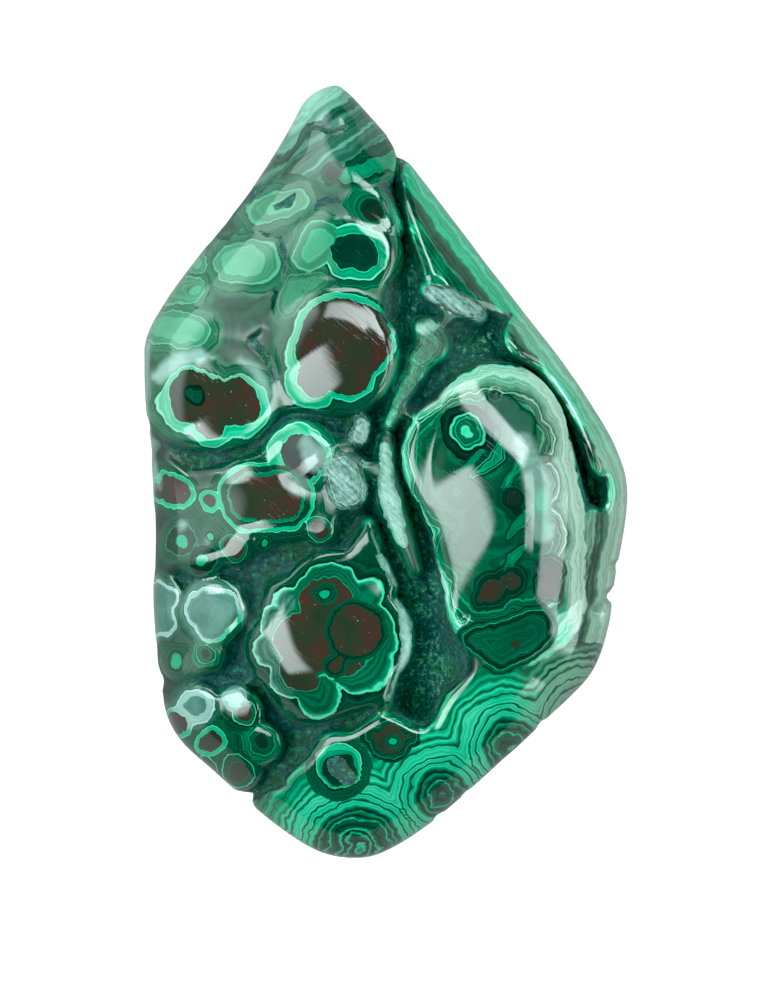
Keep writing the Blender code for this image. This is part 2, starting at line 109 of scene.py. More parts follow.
# %% The nodules that stand up, as chains of circles (x, y, radius) and smooth loops
NODULE_CHAINS = {
    "north_eye": [[(-13.6, 25.6, 1.7), (-11.0, 26.2, 2.7), (-8.9, 26.5, 2.2)]],
    "grey_eye": [[(-15.1, 20.4, 3.0), (-13.1, 20.3, 3.2)]],
    "under_grey": [[(-16.6, 16.7, 1.0), (-13.9, 16.3, 1.1)]],
    "west_lobes": [[(-18.7, 21.5, 1.2), (-19.7, 18.4, 1.9), (-22.0, 17.5, 2.0)]],
    "west_eye": [[(-23.0, 13.6, 2.4), (-20.6, 13.9, 2.6), (-18.5, 13.5, 2.1)]],
    "leaf": [[(-12.6, 15.9, 0.9), (-13.7, 14.6, 1.2)]],
    "twin_eye": [[(-3.1, 26.3, 1.2), (-1.2, 25.9, 1.8), (0.3, 24.1, 1.3)]],
    "dark_eye": [[(-5.9, 21.9, 3.5), (-2.2, 21.4, 3.6)]],
    "great_dome": [[(-7.6, 16.2, 2.8), (-5.6, 13.3, 5.3), (-4.6, 11.2, 5.9)]],
    "clover": [[(-20.8, 7.9, 4.5), (-18.6, 7.5, 5.2), (-15.7, 7.3, 5.1)]],
    "double_eye": [[(-13.2, -2.4, 3.7), (-10.4, -2.5, 4.0)], [(-8.4, 1.7, 3.2)]],
    "rim_eye": [[(-20.6, -2.3, 1.9), (-22.8, -1.2, 2.4)]],
    "bead": [[(-17.5, -2.8, 1.6), (-16.6, -1.4, 1.1)], [(-18.6, -1.2, 1.0), (-16.2, -0.9, 0.9)]],
    "rough_pebble": [[(-4.1, -0.2, 1.9), (-3.7, -2.0, 1.9)]],
    "rice_grain": [[(-2.4, 4.6, 0.8), (-2.7, 3.3, 0.9)]],
    "olive_bead": [[(-6.5, -5.8, 1.6)]],
    "green_beads": [
        [(-20.3, -6.7, 1.9), (-19.4, -5.0, 0.9)], [(-18.0, -8.8, 1.9)], [(-14.9, -7.6, 1.6)],
        [(-12.0, -7.2, 0.8)], [(-17.2, -6.2, 1.1)],
    ],
    "moon": [[(-17.1, -13.9, 3.4)]],
    "mottled_beads": [[(-20.6, -18.7, 2.1), (-17.7, -18.3, 1.8)]],
    "edge_moon": [[(-22.5, -12.8, 2.3), (-22.5, -14.8, 2.2)]],
    "heart": [
        [(-8.8, -14.2, 3.5), (-5.2, -12.8, 4.9), (-2.2, -16.5, 4.8), (-0.3, -23.2, 0.6)],
        [(-10.3, -17.5, 3.4), (-7.2, -20.5, 4.3)],
        [(-2.2, -11.0, 3.2), (-1.7, -5.3, 0.5)],
        [(-5.6, -16.5, 4.5)],
    ],
    "corner_beads": [
        [(-18.8, -23.6, 2.4)], [(-14.5, -23.9, 2.3)], [(-12.4, -27.1, 2.1)],
        [(-20.9, -24.9, 2.2), (-17.3, -27.0, 2.4), (-14.6, -29.8, 2.2)],
    ],
    "egg": [
        [(11.2, 3.8, 6.7), (12.0, -4.5, 7.6), (12.9, -12.5, 6.9)],
        [(7.6, 1.3, 6.0), (9.6, -2.4, 6.2)],
    ],
    "ledge": [[(4.3, 17.8, 0.8), (6.7, 16.7, 1.3), (9.1, 15.5, 0.8)]],
    "fragment": [[(3.7, 14.1, 1.0), (4.6, 12.3, 1.6), (3.2, 10.8, 1.1)]],
    "ridge": [[(3.4, 10.9, 1.1), (2.5, 9.0, 0.9), (1.3, 6.8, 0.7), (0.3, 4.4, 0.5)]],
    "spindle": [
        [(0.0, 3.0, 0.6), (-0.1, -0.3, 1.1), (0.7, -3.6, 1.2), (1.9, -7.0, 0.9), (2.9, -9.8, 0.5)],
    ],
}
NODULE_LOOPS = {
    "cap": [
        (0.7, 32.8), (-1.5, 37.5), (-5.0, 41.0), (-10.5, 39.0), (-14.0, 32.0), (-16.5, 27.0),
        (-15.2, 25.9), (-13.4, 27.6), (-11.2, 29.0), (-9.2, 29.4), (-7.0, 28.6), (-3.5, 28.0),
        (-1.0, 28.2), (0.5, 28.9), (0.9, 30.3),
    ],
    "upper_flank": [
        (1.6, 31.0), (1.8, 28.0), (2.1, 25.0), (2.7, 22.5), (3.4, 20.5), (4.1, 18.6),
        (5.6, 18.2), (7.6, 17.3), (10.3, 16.0), (12.4, 15.7), (14.0, 15.8), (17.0, 18.0),
        (9.0, 29.0), (3.0, 36.0),
    ],
    "right_flank": [
        (12.4, 14.8), (11.8, 12.8), (12.8, 11.3), (15.5, 10.1), (17.5, 7.6), (19.0, 4.9),
        (19.9, 1.8), (20.7, -0.2), (22.0, -0.9), (22.2, -2.7), (21.5, -4.1), (19.8, -4.0),
        (17.5, -8.0), (18.0, -17.0), (22.0, -21.0), (27.0, -12.0), (27.0, 0.0), (22.0, 9.0),
        (15.5, 18.0),
    ],
    "agate": [
        (-12.4, -32.5), (-10.1, -31.2), (-9.7, -30.2), (-7.6, -28.3), (-6.6, -26.6),
        (-5.6, -25.8), (-3.6, -25.7), (-1.5, -24.4), (-0.5, -23.9), (0.7, -24.2), (3.2, -25.3),
        (4.5, -25.0), (5.4, -23.2), (6.4, -21.7), (8.4, -20.2), (10.5, -18.8), (14.0, -17.0),
        (20.0, -17.0), (25.0, -20.0), (16.0, -33.0), (4.0, -42.0), (-8.0, -43.0), (-16.0, -36.0),
    ],
}

# %% The clefts (x, y, radius, depth), pits (x, y, radius, depth) and domes
CLEFTS = {
    "main": [
        (0.9, 32.3, 1.2, 1.6), (1.4, 29.0, 1.6, 3.0), (1.8, 25.0, 1.7, 4.0), (2.3, 21.0, 1.9, 4.6),
        (2.8, 17.0, 2.6, 4.6), (2.0, 12.0, 2.2, 4.6), (0.4, 8.0, 1.9, 4.2), (-0.9, 4.0, 1.8, 4.0),
        (-1.3, -1.0, 1.8, 4.4), (-0.6, -5.0, 1.9, 4.4), (1.2, -9.0, 2.2, 5.0),
        (3.3, -14.0, 3.0, 5.6), (3.9, -19.0, 3.6, 7.0), (2.9, -23.2, 3.2, 8.6),
    ],
    "beside_spindle": [
        (1.4, 3.5, 1.6, 4.0), (1.4, -1.0, 1.6, 4.6), (3.0, -6.0, 1.7, 4.8), (4.8, -12.0, 1.8, 5.4),
    ],
    "hollow": [
        (3.4, 7.0, 1.6, 3.6), (6.5, 11.0, 2.4, 4.4), (10.3, 13.2, 2.8, 4.8), (12.2, 11.2, 1.8, 4.2),
    ],
    "groove": [
        (13.2, 10.6, 1.6, 3.8), (15.9, 8.3, 1.8, 4.8), (18.4, 4.2, 1.9, 5.2),
        (19.8, 0.3, 2.0, 5.6), (20.9, -2.4, 2.0, 5.2),
    ],
    "middle": [
        (-1.6, 6.6, 1.6, 2.8), (-4.0, 4.4, 1.5, 1.8), (-9.8, 4.9, 1.1, 1.1),
        (-14.0, 2.0, 1.2, 1.2), (-18.6, 0.9, 1.4, 1.3), (-22.3, 2.6, 1.0, 0.6),
    ],
    "lower_middle": [
        (-1.8, -4.4, 1.6, 3.0), (-6.2, -7.9, 1.4, 2.0), (-10.6, -8.8, 1.9, 1.6),
        (-14.0, -10.4, 1.6, 1.7), (-19.8, -10.8, 1.4, 1.2),
    ],
    "west_gap": [
        (-13.2, -11.0, 1.6, 1.8), (-13.7, -15.5, 1.4, 2.2), (-14.4, -19.6, 1.6, 2.0),
        (-16.8, -20.6, 1.5, 1.6), (-20.5, -21.0, 1.2, 0.8), (-22.6, -20.4, 1.2, 0.3),
    ],
    "under_heart": [
        (-12.4, -22.4, 2.0, 2.6), (-9.2, -26.2, 2.2, 2.8), (-4.6, -25.4, 1.2, 2.0),
        (-1.0, -24.1, 1.0, 2.0),
    ],
    "corner_gap": [(-9.2, -27.4, 1.8, 2.6), (-11.4, -30.7, 1.5, 1.8), (-14.2, -33.0, 1.2, 1.0)],
    "west_triangle": [(-12.4, 12.8, 1.3, 0.5), (-11.1, 9.9, 0.9, 0.6)],
    "north_gap": [(-6.2, 27.0, 1.2, 0.6)],
}
PITS = (
    (10.7, 7.4, 0.55, 0.9), (7.5, -14.4, 0.5, 0.7), (22.6, -12.6, 0.7, 1.7),
    (21.0, -14.2, 0.9, 1.3), (22.9, -9.6, 0.5, 0.8), (15.6, -25.4, 0.6, 0.9),
    (8.1, -32.3, 0.5, 0.6), (5.4, -34.6, 0.6, 0.6), (-23.8, 4.6, 0.6, 0.8),
)
DOMES = (
    (12.4, -3.2, 8.2, 13.4, 5, 2.6, 2.0), (-4.7, 11.4, 6.6, 6.5, 0, 1.6, 2.0),
    (-17.3, 7.4, 6.8, 5.8, 0, 0.4, 3.0), (-11.9, -2.4, 5.2, 4.2, 0, 0.25, 3.0),
    (-8.4, 1.9, 3.5, 3.4, 0, 0.7, 2.0), (-5.4, -16.2, 7.9, 9.2, 10, 0.9, 3.0),
    (-17.1, -13.9, 3.6, 3.6, 0, 0.3, 2.0), (-22.8, -13.9, 2.6, 3.4, 0, 0.6, 2.0),
    (-3.8, 21.8, 5.4, 4.2, 0, 0.4, 2.0), (-14.2, 20.4, 4.4, 3.4, 0, 0.3, 2.0),
    (-20.4, 13.8, 3.8, 3.0, 0, 0.3, 2.0), (12.2, -26.6, 7.0, 6.6, 0, 0.9, 2.0),
    (3.6, -31.5, 8.0, 6.0, 0, 0.6, 2.0), (-17.0, -25.4, 5.2, 4.6, 0, 0.6, 2.0),
    (-3.9, -1.1, 2.3, 3.3, 0, 0.4, 2.0), (-18.8, -23.4, 2.6, 2.6, 0, 0.4, 2.0),
)
TILTS = (
    (-17.8, 7.2, 5.6, 0.30, 0.15), (-12.2, -2.4, 4.6, 0.10, 0.34), (-4.7, 11.4, 6.0, 0.10, -0.04),
    (-5.4, -16.0, 7.5, 0.34, 0.24), (-17.1, -13.9, 4.2, -0.14, 0.42), (-8.4, 1.9, 3.2, -0.30, 0.30),
    (-4.0, 33.0, 7.0, -0.24, 0.0), (-1.5, 23.5, 4.5, 0.0, -0.14), (-18.8, -5.5, 5.6, 0.0, 0.42),
    (-18.6, -18.4, 3.4, 0.0, 0.40), (-2.4, 31.2, 3.6, 0.0, 0.18),
    (-1.2, 25.8, 2.2, -0.06, -0.12),
)


# %% Helpers that measure distances in plan
def smooth_step(low, high, value):
    share = np.clip((value - low) / (high - low), 0.0, 1.0)
    return share * share * (3.0 - 2.0 * share)


def smooth_loop(points, steps=8):
    """Points on a closed Catmull-Rom curve through the given ones."""
    knots = np.array(points, float)
    before, after, beyond = (np.roll(knots, shift, axis=0) for shift in (1, -1, -2))
    rows = []
    for share in np.arange(steps) / steps:
        rows.append(
            0.5
            * (
                2.0 * knots
                + (after - before) * share
                + (2.0 * before - 5.0 * knots + 4.0 * after - beyond) * share**2
                + (3.0 * knots - before - 3.0 * after + beyond) * share**3
            )
        )
    return np.stack(rows, axis=1).reshape(-1, 2)


def along_link(plan, start, end):
    """How far along a link each plan point lies, from 0 to 1, and its distance from it."""
    start = np.array(start[:2])
    run = np.array(end[:2]) - start
    share = np.clip((plan - start) @ run / max(run @ run, 1e-9), 0.0, 1.0)
    return share, np.linalg.norm(plan - start - share[:, None] * run, axis=1)


def inside_chain(plan, circles):
    """How far inside a chain of circles each plan point lies, negative outside."""
    best = np.full(len(plan), -np.inf)
    for first, second in list(zip(circles, circles[1:])) or [(circles[0], circles[0])]:
        share, distance = along_link(plan, first, second)
        best = np.maximum(best, first[2] + (second[2] - first[2]) * share - distance)
    return best


def inside_loop(plan, points, steps=8):
    """How far inside a smooth closed loop each plan point lies, negative outside."""
    ends = smooth_loop(points, steps)
    nearest = np.full(len(plan), np.inf)
    crossings = np.zeros(len(plan), int)
    for start, end in zip(ends, np.roll(ends, -1, axis=0)):
        nearest = np.minimum(nearest, along_link(plan, start, end)[1])
        run = end - start
        spans = (start[1] > plan[:, 1]) != (end[1] > plan[:, 1])
        crossings += spans & (
            plan[:, 0] < start[0] + run[0] * (plan[:, 1] - start[1]) / (run[1] or 1e-12)
        )
    return np.where(crossings % 2 == 1, nearest, -nearest)


def rough(places, scale, seed):
    """Soft noise from -1 to 1 at each place."""
    offset = Vector((seed * 7.31, seed * 3.17, seed * 5.77))
    return np.array([noise.noise(Vector(place) * scale + offset) for place in places])


# %% Helpers that give the pebble and its relief
def inside_nodules(plan):
    best = np.full(len(plan), -np.inf)
    for chains in NODULE_CHAINS.values():
        for circles in chains:
            best = np.maximum(best, inside_chain(plan, circles))
    for points in NODULE_LOOPS.values():
        best = np.maximum(best, inside_loop(plan, points))
    return best


def ground_depth(plan):
    depth = np.full(len(plan), SEAM_DEPTH)
    for cleft in CLEFTS.values():
        for first, second in zip(cleft, cleft[1:]):
            share, distance = along_link(plan, first, second)
            reach = (first[2] + (second[2] - first[2]) * share) * 1.5
            deep = first[3] + (second[3] - first[3]) * share
            depth = np.maximum(depth, deep * smooth_step(reach, 0.0, distance))
    return depth


def dome_rise(plan):
    rise = np.zeros(len(plan))
    for x, y, half_width, half_length, lean, height, power in DOMES:
        turn = math.radians(lean)
        across = (plan[:, 0] - x) * math.cos(turn) + (plan[:, 1] - y) * math.sin(turn)
        along = (plan[:, 1] - y) * math.cos(turn) - (plan[:, 0] - x) * math.sin(turn)
        share = 1.0 - np.hypot(across / half_width, along / half_length) ** power
        rise += height * 0.5 * (share + np.sqrt(share**2 + 0.01))
    for x, y, radius, east, north in TILTS:
        shift = plan - (x, y)
        rise -= (shift @ (east, north)) * np.exp(-((np.linalg.norm(shift, axis=1) / radius) ** 4))
    return rise


def outline_radius(angles, soften=False):
    ends = smooth_loop(OUTLINE, 24)
    around = np.arctan2(ends[:, 1], ends[:, 0])
    order = np.argsort(around)
    even = np.linspace(-math.pi, math.pi, 721)[:-1]
    radius = np.hypot(ends[:, 0], ends[:, 1])[order]
    radius = np.interp(even, around[order], radius, period=2.0 * math.pi)
    if soften:
        apart = (even[:, None] - even[None, :] + math.pi) % (2.0 * math.pi) - math.pi
        weight = np.exp(-0.5 * (apart / math.radians(SOFT_ANGLE)) ** 2)
        radius = weight @ radius / weight.sum(axis=1)
    return np.interp(angles, even, radius, period=2.0 * math.pi)


def pebble(directions):
    """The plain pebble's surface point for each direction on a unit sphere."""
    angles = np.arctan2(directions[:, 1], directions[:, 0])
    level = np.clip(directions[:, 2], -1.0, 1.0)
    stops, squareness = np.array(SHOULDERS, float).T
    crown = np.interp(np.degrees(angles) % 360.0, stops, squareness, period=360.0)
    power = 2.0 / np.where(level > 0.0, crown, BELLY_SHOULDER)
    out = np.sqrt(1.0 - level**2) ** power
    up = np.abs(level) ** power * np.where(level > 0.0, CROWN, -BELLY)
    soft, sharp = outline_radius(angles, soften=True), outline_radius(angles)
    reach = out * (soft + (sharp - soft) * out**3)
    return np.stack((reach * np.cos(angles), reach * np.sin(angles), GIRDLE + up), axis=1)


def swayed(places):
    """The plan point of the show face whose nodule runs down to each place."""
    depth = np.clip((GIRDLE + 3.0 - places[:, 2]) / (GIRDLE + 3.0), 0.0, 1.0)
    sway = SWAY * depth**2
    shift_x = sway * np.sin(0.21 * places[:, 1] + 0.33 * places[:, 2] + 1.0)
    shift_y = sway * np.sin(0.19 * places[:, 0] + 0.29 * places[:, 2] + 2.3)
    return places[:, :2] + np.stack((shift_x, shift_y), axis=1)


def relief(places, facing_up):
    """Shift of each pebble point: up on the domes, down at edges, clefts and pits."""
    plan = swayed(places)
    inside = inside_nodules(plan)
    ground = ground_depth(plan)
    shoulder = SHOULDER_DROP * (1.0 - np.exp(-ground / 1.2))
    edge = shoulder * np.clip(1.0 - inside / SHOULDER_WIDTH, 0.0, 1.0) ** 2
    edge = np.where(inside > 0.0, edge, shoulder)
    outside = np.maximum(-inside, 0.0)
    crumble = 0.12 * rough(places, 0.5, 1) + 0.10 * rough(places, 1.3, 4)
    crumble += 0.05 * rough(places, 2.9, 5)
    floor = ground * (1.0 + crumble) * smooth_step(0.0, CLIFF, outside)
    pits = np.zeros(len(plan))
    for x, y, radius, depth in PITS:
        distance = np.hypot(plan[:, 0] - x, plan[:, 1] - y)
        pits = np.maximum(pits, depth * smooth_step(radius * 1.4, radius * 0.3, distance))
    on_face = smooth_step(GIRDLE - 7.0, GIRDLE + 1.5, places[:, 2])
    share = BACK_RELIEF + (1.0 - BACK_RELIEF) * on_face
    lumps = 0.25 * rough(places, 0.07, 2) + 0.12 * rough(places, 0.16, 3)
    clear_of_rest = smooth_step(0.0, 4.0, places[:, 2])
    domes = dome_rise(plan) * smooth_step(0.0, 0.6, facing_up)
    return clear_of_rest * (share * (domes - edge - floor - pits) + lumps)


def relief_directions(normals):
    """Straight up on the show face, so that it keeps its plan, and outward elsewhere."""
    upright = smooth_step(0.3, 0.8, normals[:, 2])[:, None]
    return normals * (1.0 - upright) + np.array((0.0, 0.0, 1.0)) * upright


# %% The fine stone
SPHERE_LEVEL = 7


def read_points(mesh, what="co"):
    flat = np.empty(len(mesh.vertices) * 3)
    mesh.vertices.foreach_get(what, flat)
    return flat.reshape(-1, 3)


def make_fine_stone():
    mesh = bpy.data.meshes.new("fine_stone")
    work = bmesh.new()
    bmesh.ops.create_icosphere(work, subdivisions=SPHERE_LEVEL, radius=1.0)
    upper = [e for e in work.edges if all(v.co.z > 0.12 for v in e.verts)]
    bmesh.ops.subdivide_edges(work, edges=upper, cuts=1, use_grid_fill=True)
    bmesh.ops.triangulate(work, faces=work.faces[:])
    work.to_mesh(mesh)
    work.free()
    directions = read_points(mesh)
    directions /= np.linalg.norm(directions, axis=1)[:, None]
    places = pebble(directions)
    mesh.vertices.foreach_set("co", places.ravel())
    mesh.update()
    normals = read_points(mesh, "normal")
    plain = places.copy()
    places += relief_directions(normals) * relief(places, normals[:, 2])[:, None]
    places[:, 2] = np.maximum(places[:, 2], 0.0)
    mesh.vertices.foreach_set("co", places.ravel() * MM)
    mesh.update()
    stone = bpy.data.objects.new("fine_stone", mesh)
    bpy.context.scene.collection.objects.link(stone)
    mesh.shade_smooth()
    return stone, plain


stone, plain_places = make_fine_stone()
print("fine stone:", len(stone.data.polygons), "triangles")

# %% [markdown]
# ## The pattern: where growth began
# Each eye is drawn as three nested outlines: its dark core, the bright line round it, and the
# edge where it met its neighbours. Every outline is a union of circles, because that is how
# nodules meet, in scallops with sharp cusps between. From the distances to the three outlines
# comes one number, the growth: 0 in the middle of the core, 1 at its edge, 2 at the bright
# line, 3 at the outer edge, and on past 3 outside. A plain number in place of circles means
# that the outline lies that far inside the one around it.

# %% The eyes: look, outer edge, bright line, core
EYES = {
    "north_eye": ("pale", [(-12.6, 25.6, 2.0), (-10.5, 26.2, 2.2), (-8.5, 26.7, 1.8)], 0.7,
                  [(-11.0, 25.8, 0.5), (-9.6, 26.5, 0.6)]),
    "grey_eye": ("pale", [(-15.0, 20.4, 2.8), (-12.6, 20.5, 3.0)], 0.8,
                 [(-14.8, 20.5, 1.5), (-13.6, 20.6, 1.5)]),
    "west_spot": ("pale", [(-18.8, 20.6, 1.5)], 0.4, 0.6),
    "west_spot_low": ("pale", [(-19.4, 17.9, 1.9), (-21.6, 17.6, 1.9)], 0.5, [(-19.0, 17.8, 0.5)]),
    "west_eye": ("pale", [(-22.8, 14.1, 2.2), (-20.4, 13.8, 2.6), (-18.9, 13.6, 2.3)], 0.7, 0.6),
    "dark_eye": ("fern", [(-3.4, 21.5, 3.5), (-2.2, 21.5, 3.6), (-1.6, 22.4, 3.1)],
                 [(-3.4, 21.5, 2.8), (-2.4, 21.2, 2.6)], [(-3.8, 21.4, 1.7), (-2.5, 21.4, 1.8)]),
    "dark_eye_west": ("pale", [(-7.6, 21.2, 2.4), (-6.4, 22.6, 2.9)], 0.8, 0.9),
    "arcs": ("misty", [(-9.6, 16.2, 1.7), (-8.6, 18.0, 2.0), (-6.4, 18.8, 1.2)], 0.5, 0.5),
    "twin_eye": ("dim", [(-1.5, 25.8, 2.1), (-0.4, 25.0, 1.9), (-2.9, 26.5, 1.4)],
                 [(-1.4, 25.7, 1.75)], [(-1.3, 25.6, 1.25)]),
    "cap_spot": ("shade", [(-5.3, 29.4, 1.1)], 0.3, 0.3),
    "cap_wave": ("leaf", [(-4.0, 28.9, 0.9), (-3.0, 29.3, 1.2), (-1.9, 29.9, 1.3), (-0.8, 30.3, 1.3),
                          (0.4, 30.9, 1.4)], 0.3, 0.2),
    "great_dome": (
        "dark",
        [(-4.2, 12.5, 5.2), (-7.0, 11.2, 3.7), (-7.2, 8.6, 3.3), (-3.9, 9.6, 3.6), (-7.6, 14.6, 2.6)],
        [(-4.5, 12.6, 4.7), (-3.6, 12.7, 4.6), (-7.3, 11.2, 2.6), (-7.2, 8.6, 2.6), (-3.9, 9.6, 2.9)],
        [(-4.3, 12.6, 4.2), (-3.5, 12.8, 4.1), (-6.6, 11.2, 2.2), (-6.6, 9.3, 2.1), (-3.9, 9.9, 2.7)],
    ),
    "clover": (
        "haloed",
        [(-19.0, 6.9, 4.4), (-14.4, 6.4, 3.9), (-17.1, 5.2, 3.7)],
        [(-18.9, 6.8, 3.4), (-14.4, 6.2, 3.1), (-17.1, 4.9, 2.7)],
        [(-18.8, 7.2, 2.7), (-14.6, 6.7, 2.4), (-17.3, 4.4, 1.4), (-16.6, 7.8, 1.3)],
    ),
    "double_eye": (
        "dark", [(-13.2, -2.6, 4.1), (-10.4, -2.8, 4.3)],
        [(-13.3, -2.6, 3.3), (-11.8, -2.7, 3.4), (-10.4, -2.7, 3.5)], 0.36,
    ),
    "upper_twin": ("night", [(-8.4, 1.8, 3.7)], [(-8.6, 1.6, 3.0), (-8.2, 1.4, 2.9)],
                   [(-8.4, 1.6, 2.0), (-7.8, 1.2, 2.2)]),
    "pebble": ("rough", [(-4.1, -0.2, 1.9), (-3.7, -2.0, 1.9)], 0.4, 0.5),
    "grain": ("rough", [(-2.4, 4.6, 0.8), (-2.7, 3.3, 0.9)], 0.3, 0.3),
    "ledge": ("rough", [(4.7, 17.5, 0.9), (5.8, 17.0, 1.1), (6.9, 16.5, 1.3), (8.9, 15.6, 0.9)], 0.3, 0.3),
    "fragment": ("crust", [(4.0, 13.4, 0.9), (4.4, 12.3, 1.3), (3.2, 10.8, 1.0)], 0.3, 0.3),
    "ridge": ("crust", [(3.0, 9.6, 0.9), (1.3, 6.8, 0.7), (0.3, 4.4, 0.5)], 0.2, 0.3),
    "olive_bead": ("olive", [(-6.5, -5.8, 1.7)], 0.35, 0.4),
    "rim_eye": ("dark", [(-20.5, -2.2, 2.2), (-21.6, -1.9, 2.3)], 0.35, 0.45),
    "bead": ("dark", [(-17.4, -3.1, 1.5)], 0.4, 0.45),
    "bead_a": ("bead", [(-20.1, -6.9, 1.9)], 0.4, 0.9),
    "bead_b": ("bead", [(-18.0, -8.8, 1.9)], 0.35, 1.0),
    "bead_c": ("olive", [(-14.9, -7.6, 1.7)], 0.25, 0.35),
    "bead_d": ("bead", [(-12.0, -7.2, 1.0)], 0.3, 0.35),
    "bead_e": ("bead", [(-17.2, -6.4, 1.0)], 0.3, 0.35),
    "moon": ("moon", [(-17.1, -13.9, 3.5)],
             [(-17.6, -13.8, 2.2), (-16.4, -14.0, 2.3), (-17.0, -14.8, 2.0)], 0.28),
    "edge_moon": ("moon", [(-22.5, -12.8, 2.4), (-22.5, -14.8, 2.3)], 0.5, 0.3),
    "mottle": ("bead", [(-20.6, -18.8, 1.7)], 0.5, 0.5),
    "mottle_mate": ("dim", [(-17.7, -18.2, 1.5)], 0.5, 0.5),
    "heart": (
        "olive",
        [(-5.4, -12.8, 4.9), (-8.9, -14.2, 3.5), (-2.2, -16.2, 4.8), (-10.3, -17.5, 3.5),
         (-7.2, -20.7, 4.5), (-2.3, -19.4, 4.3), (-2.0, -11.2, 3.3), (-1.8, -7.7, 1.3),
         (-1.7, -6.2, 0.8)],
        [(-5.6, -12.6, 3.5), (-9.3, -13.2, 1.8), (-1.5, -12.0, 1.5), (-2.8, -16.3, 3.85),
         (-2.5, -18.9, 3.2), (-6.6, -22.4, 2.2), (-9.3, -20.2, 2.2), (-11.4, -17.7, 1.9),
         (-10.7, -14.8, 1.7), (-8.5, -17.0, 3.4), (-6.0, -16.0, 4.0)],
        [(-5.8, -13.2, 2.7), (-8.2, -16.6, 2.6), (-8.3, -19.5, 2.2), (-3.4, -16.0, 3.1),
         (-4.4, -17.9, 2.5), (-6.2, -17.0, 3.2)],
    ),
    "corner_moon": ("moon", [(-18.7, -23.3, 2.5)], 0.7, 0.8),
    "corner_pale": ("pale", [(-15.0, -22.6, 1.6)], 0.4, 0.4),
    "corner_brown": ("olive", [(-14.0, -24.2, 2.1)], [(-14.0, -24.1, 1.2)], [(-14.0, -24.0, 0.8)]),
    "corner_arc": ("dark", [(-20.7, -25.0, 2.1)], 0.5, 0.45),
    "corner_low": ("dark", [(-17.2, -26.8, 2.3)], 0.8, 0.45),
    "corner_ring": ("dim", [(-12.2, -26.9, 2.2)], 0.8, 0.7),
    "corner_edge": ("rimmed", [(-14.6, -29.8, 2.3), (-17.6, -29.2, 1.6)], 0.6, 0.7),
    "egg": (
        "egg",
        [(11.2, 3.8, 6.8), (12.0, -4.5, 7.7), (12.9, -12.5, 7.0), (7.6, 1.3, 6.1), (9.6, -2.4, 6.3),
         (8.0, 2.6, 5.9), (12.4, -8.5, 7.4), (11.6, -0.4, 7.3)],
        [(8.2, 4.2, 3.3), (10.4, 5.0, 3.1), (12.4, 4.8, 3.0), (13.6, 2.9, 2.9), (13.9, -1.5, 3.1), (14.4, -6.5, 3.3),
         (14.0, -11.2, 3.3), (9.7, -11.8, 3.4), (8.0, -8.0, 3.5), (6.8, -2.0, 4.2), (6.6, 1.6, 4.4),
         (10.4, 0.6, 5.0), (11.0, -5.0, 5.0)],
        [(7.9, 4.2, 2.8), (10.6, 4.8, 2.6), (12.2, 4.6, 2.5), (13.2, 2.9, 2.3), (13.4, -1.5, 2.4), (13.8, -6.5, 2.6),
         (13.4, -10.2, 2.6), (9.8, -11.2, 2.9), (8.2, -7.7, 3.1), (7.0, -2.0, 3.6), (6.8, 1.6, 3.9),
         (10.0, 0.6, 4.6), (10.6, -5.0, 4.6)],
    ),
    "pocket": ("pocket", [(-4.6, -29.5, 3.2)], [(-4.6, -29.1, 2.2)], [(-4.6, -29.5, 1.7), (-3.8, -30.6, 1.6)]),
    "block_brown": ("hazel", [(0.4, -26.6, 2.3), (-1.4, -25.9, 1.1), (2.3, -26.2, 1.1)], 0.3, 0.5),
}
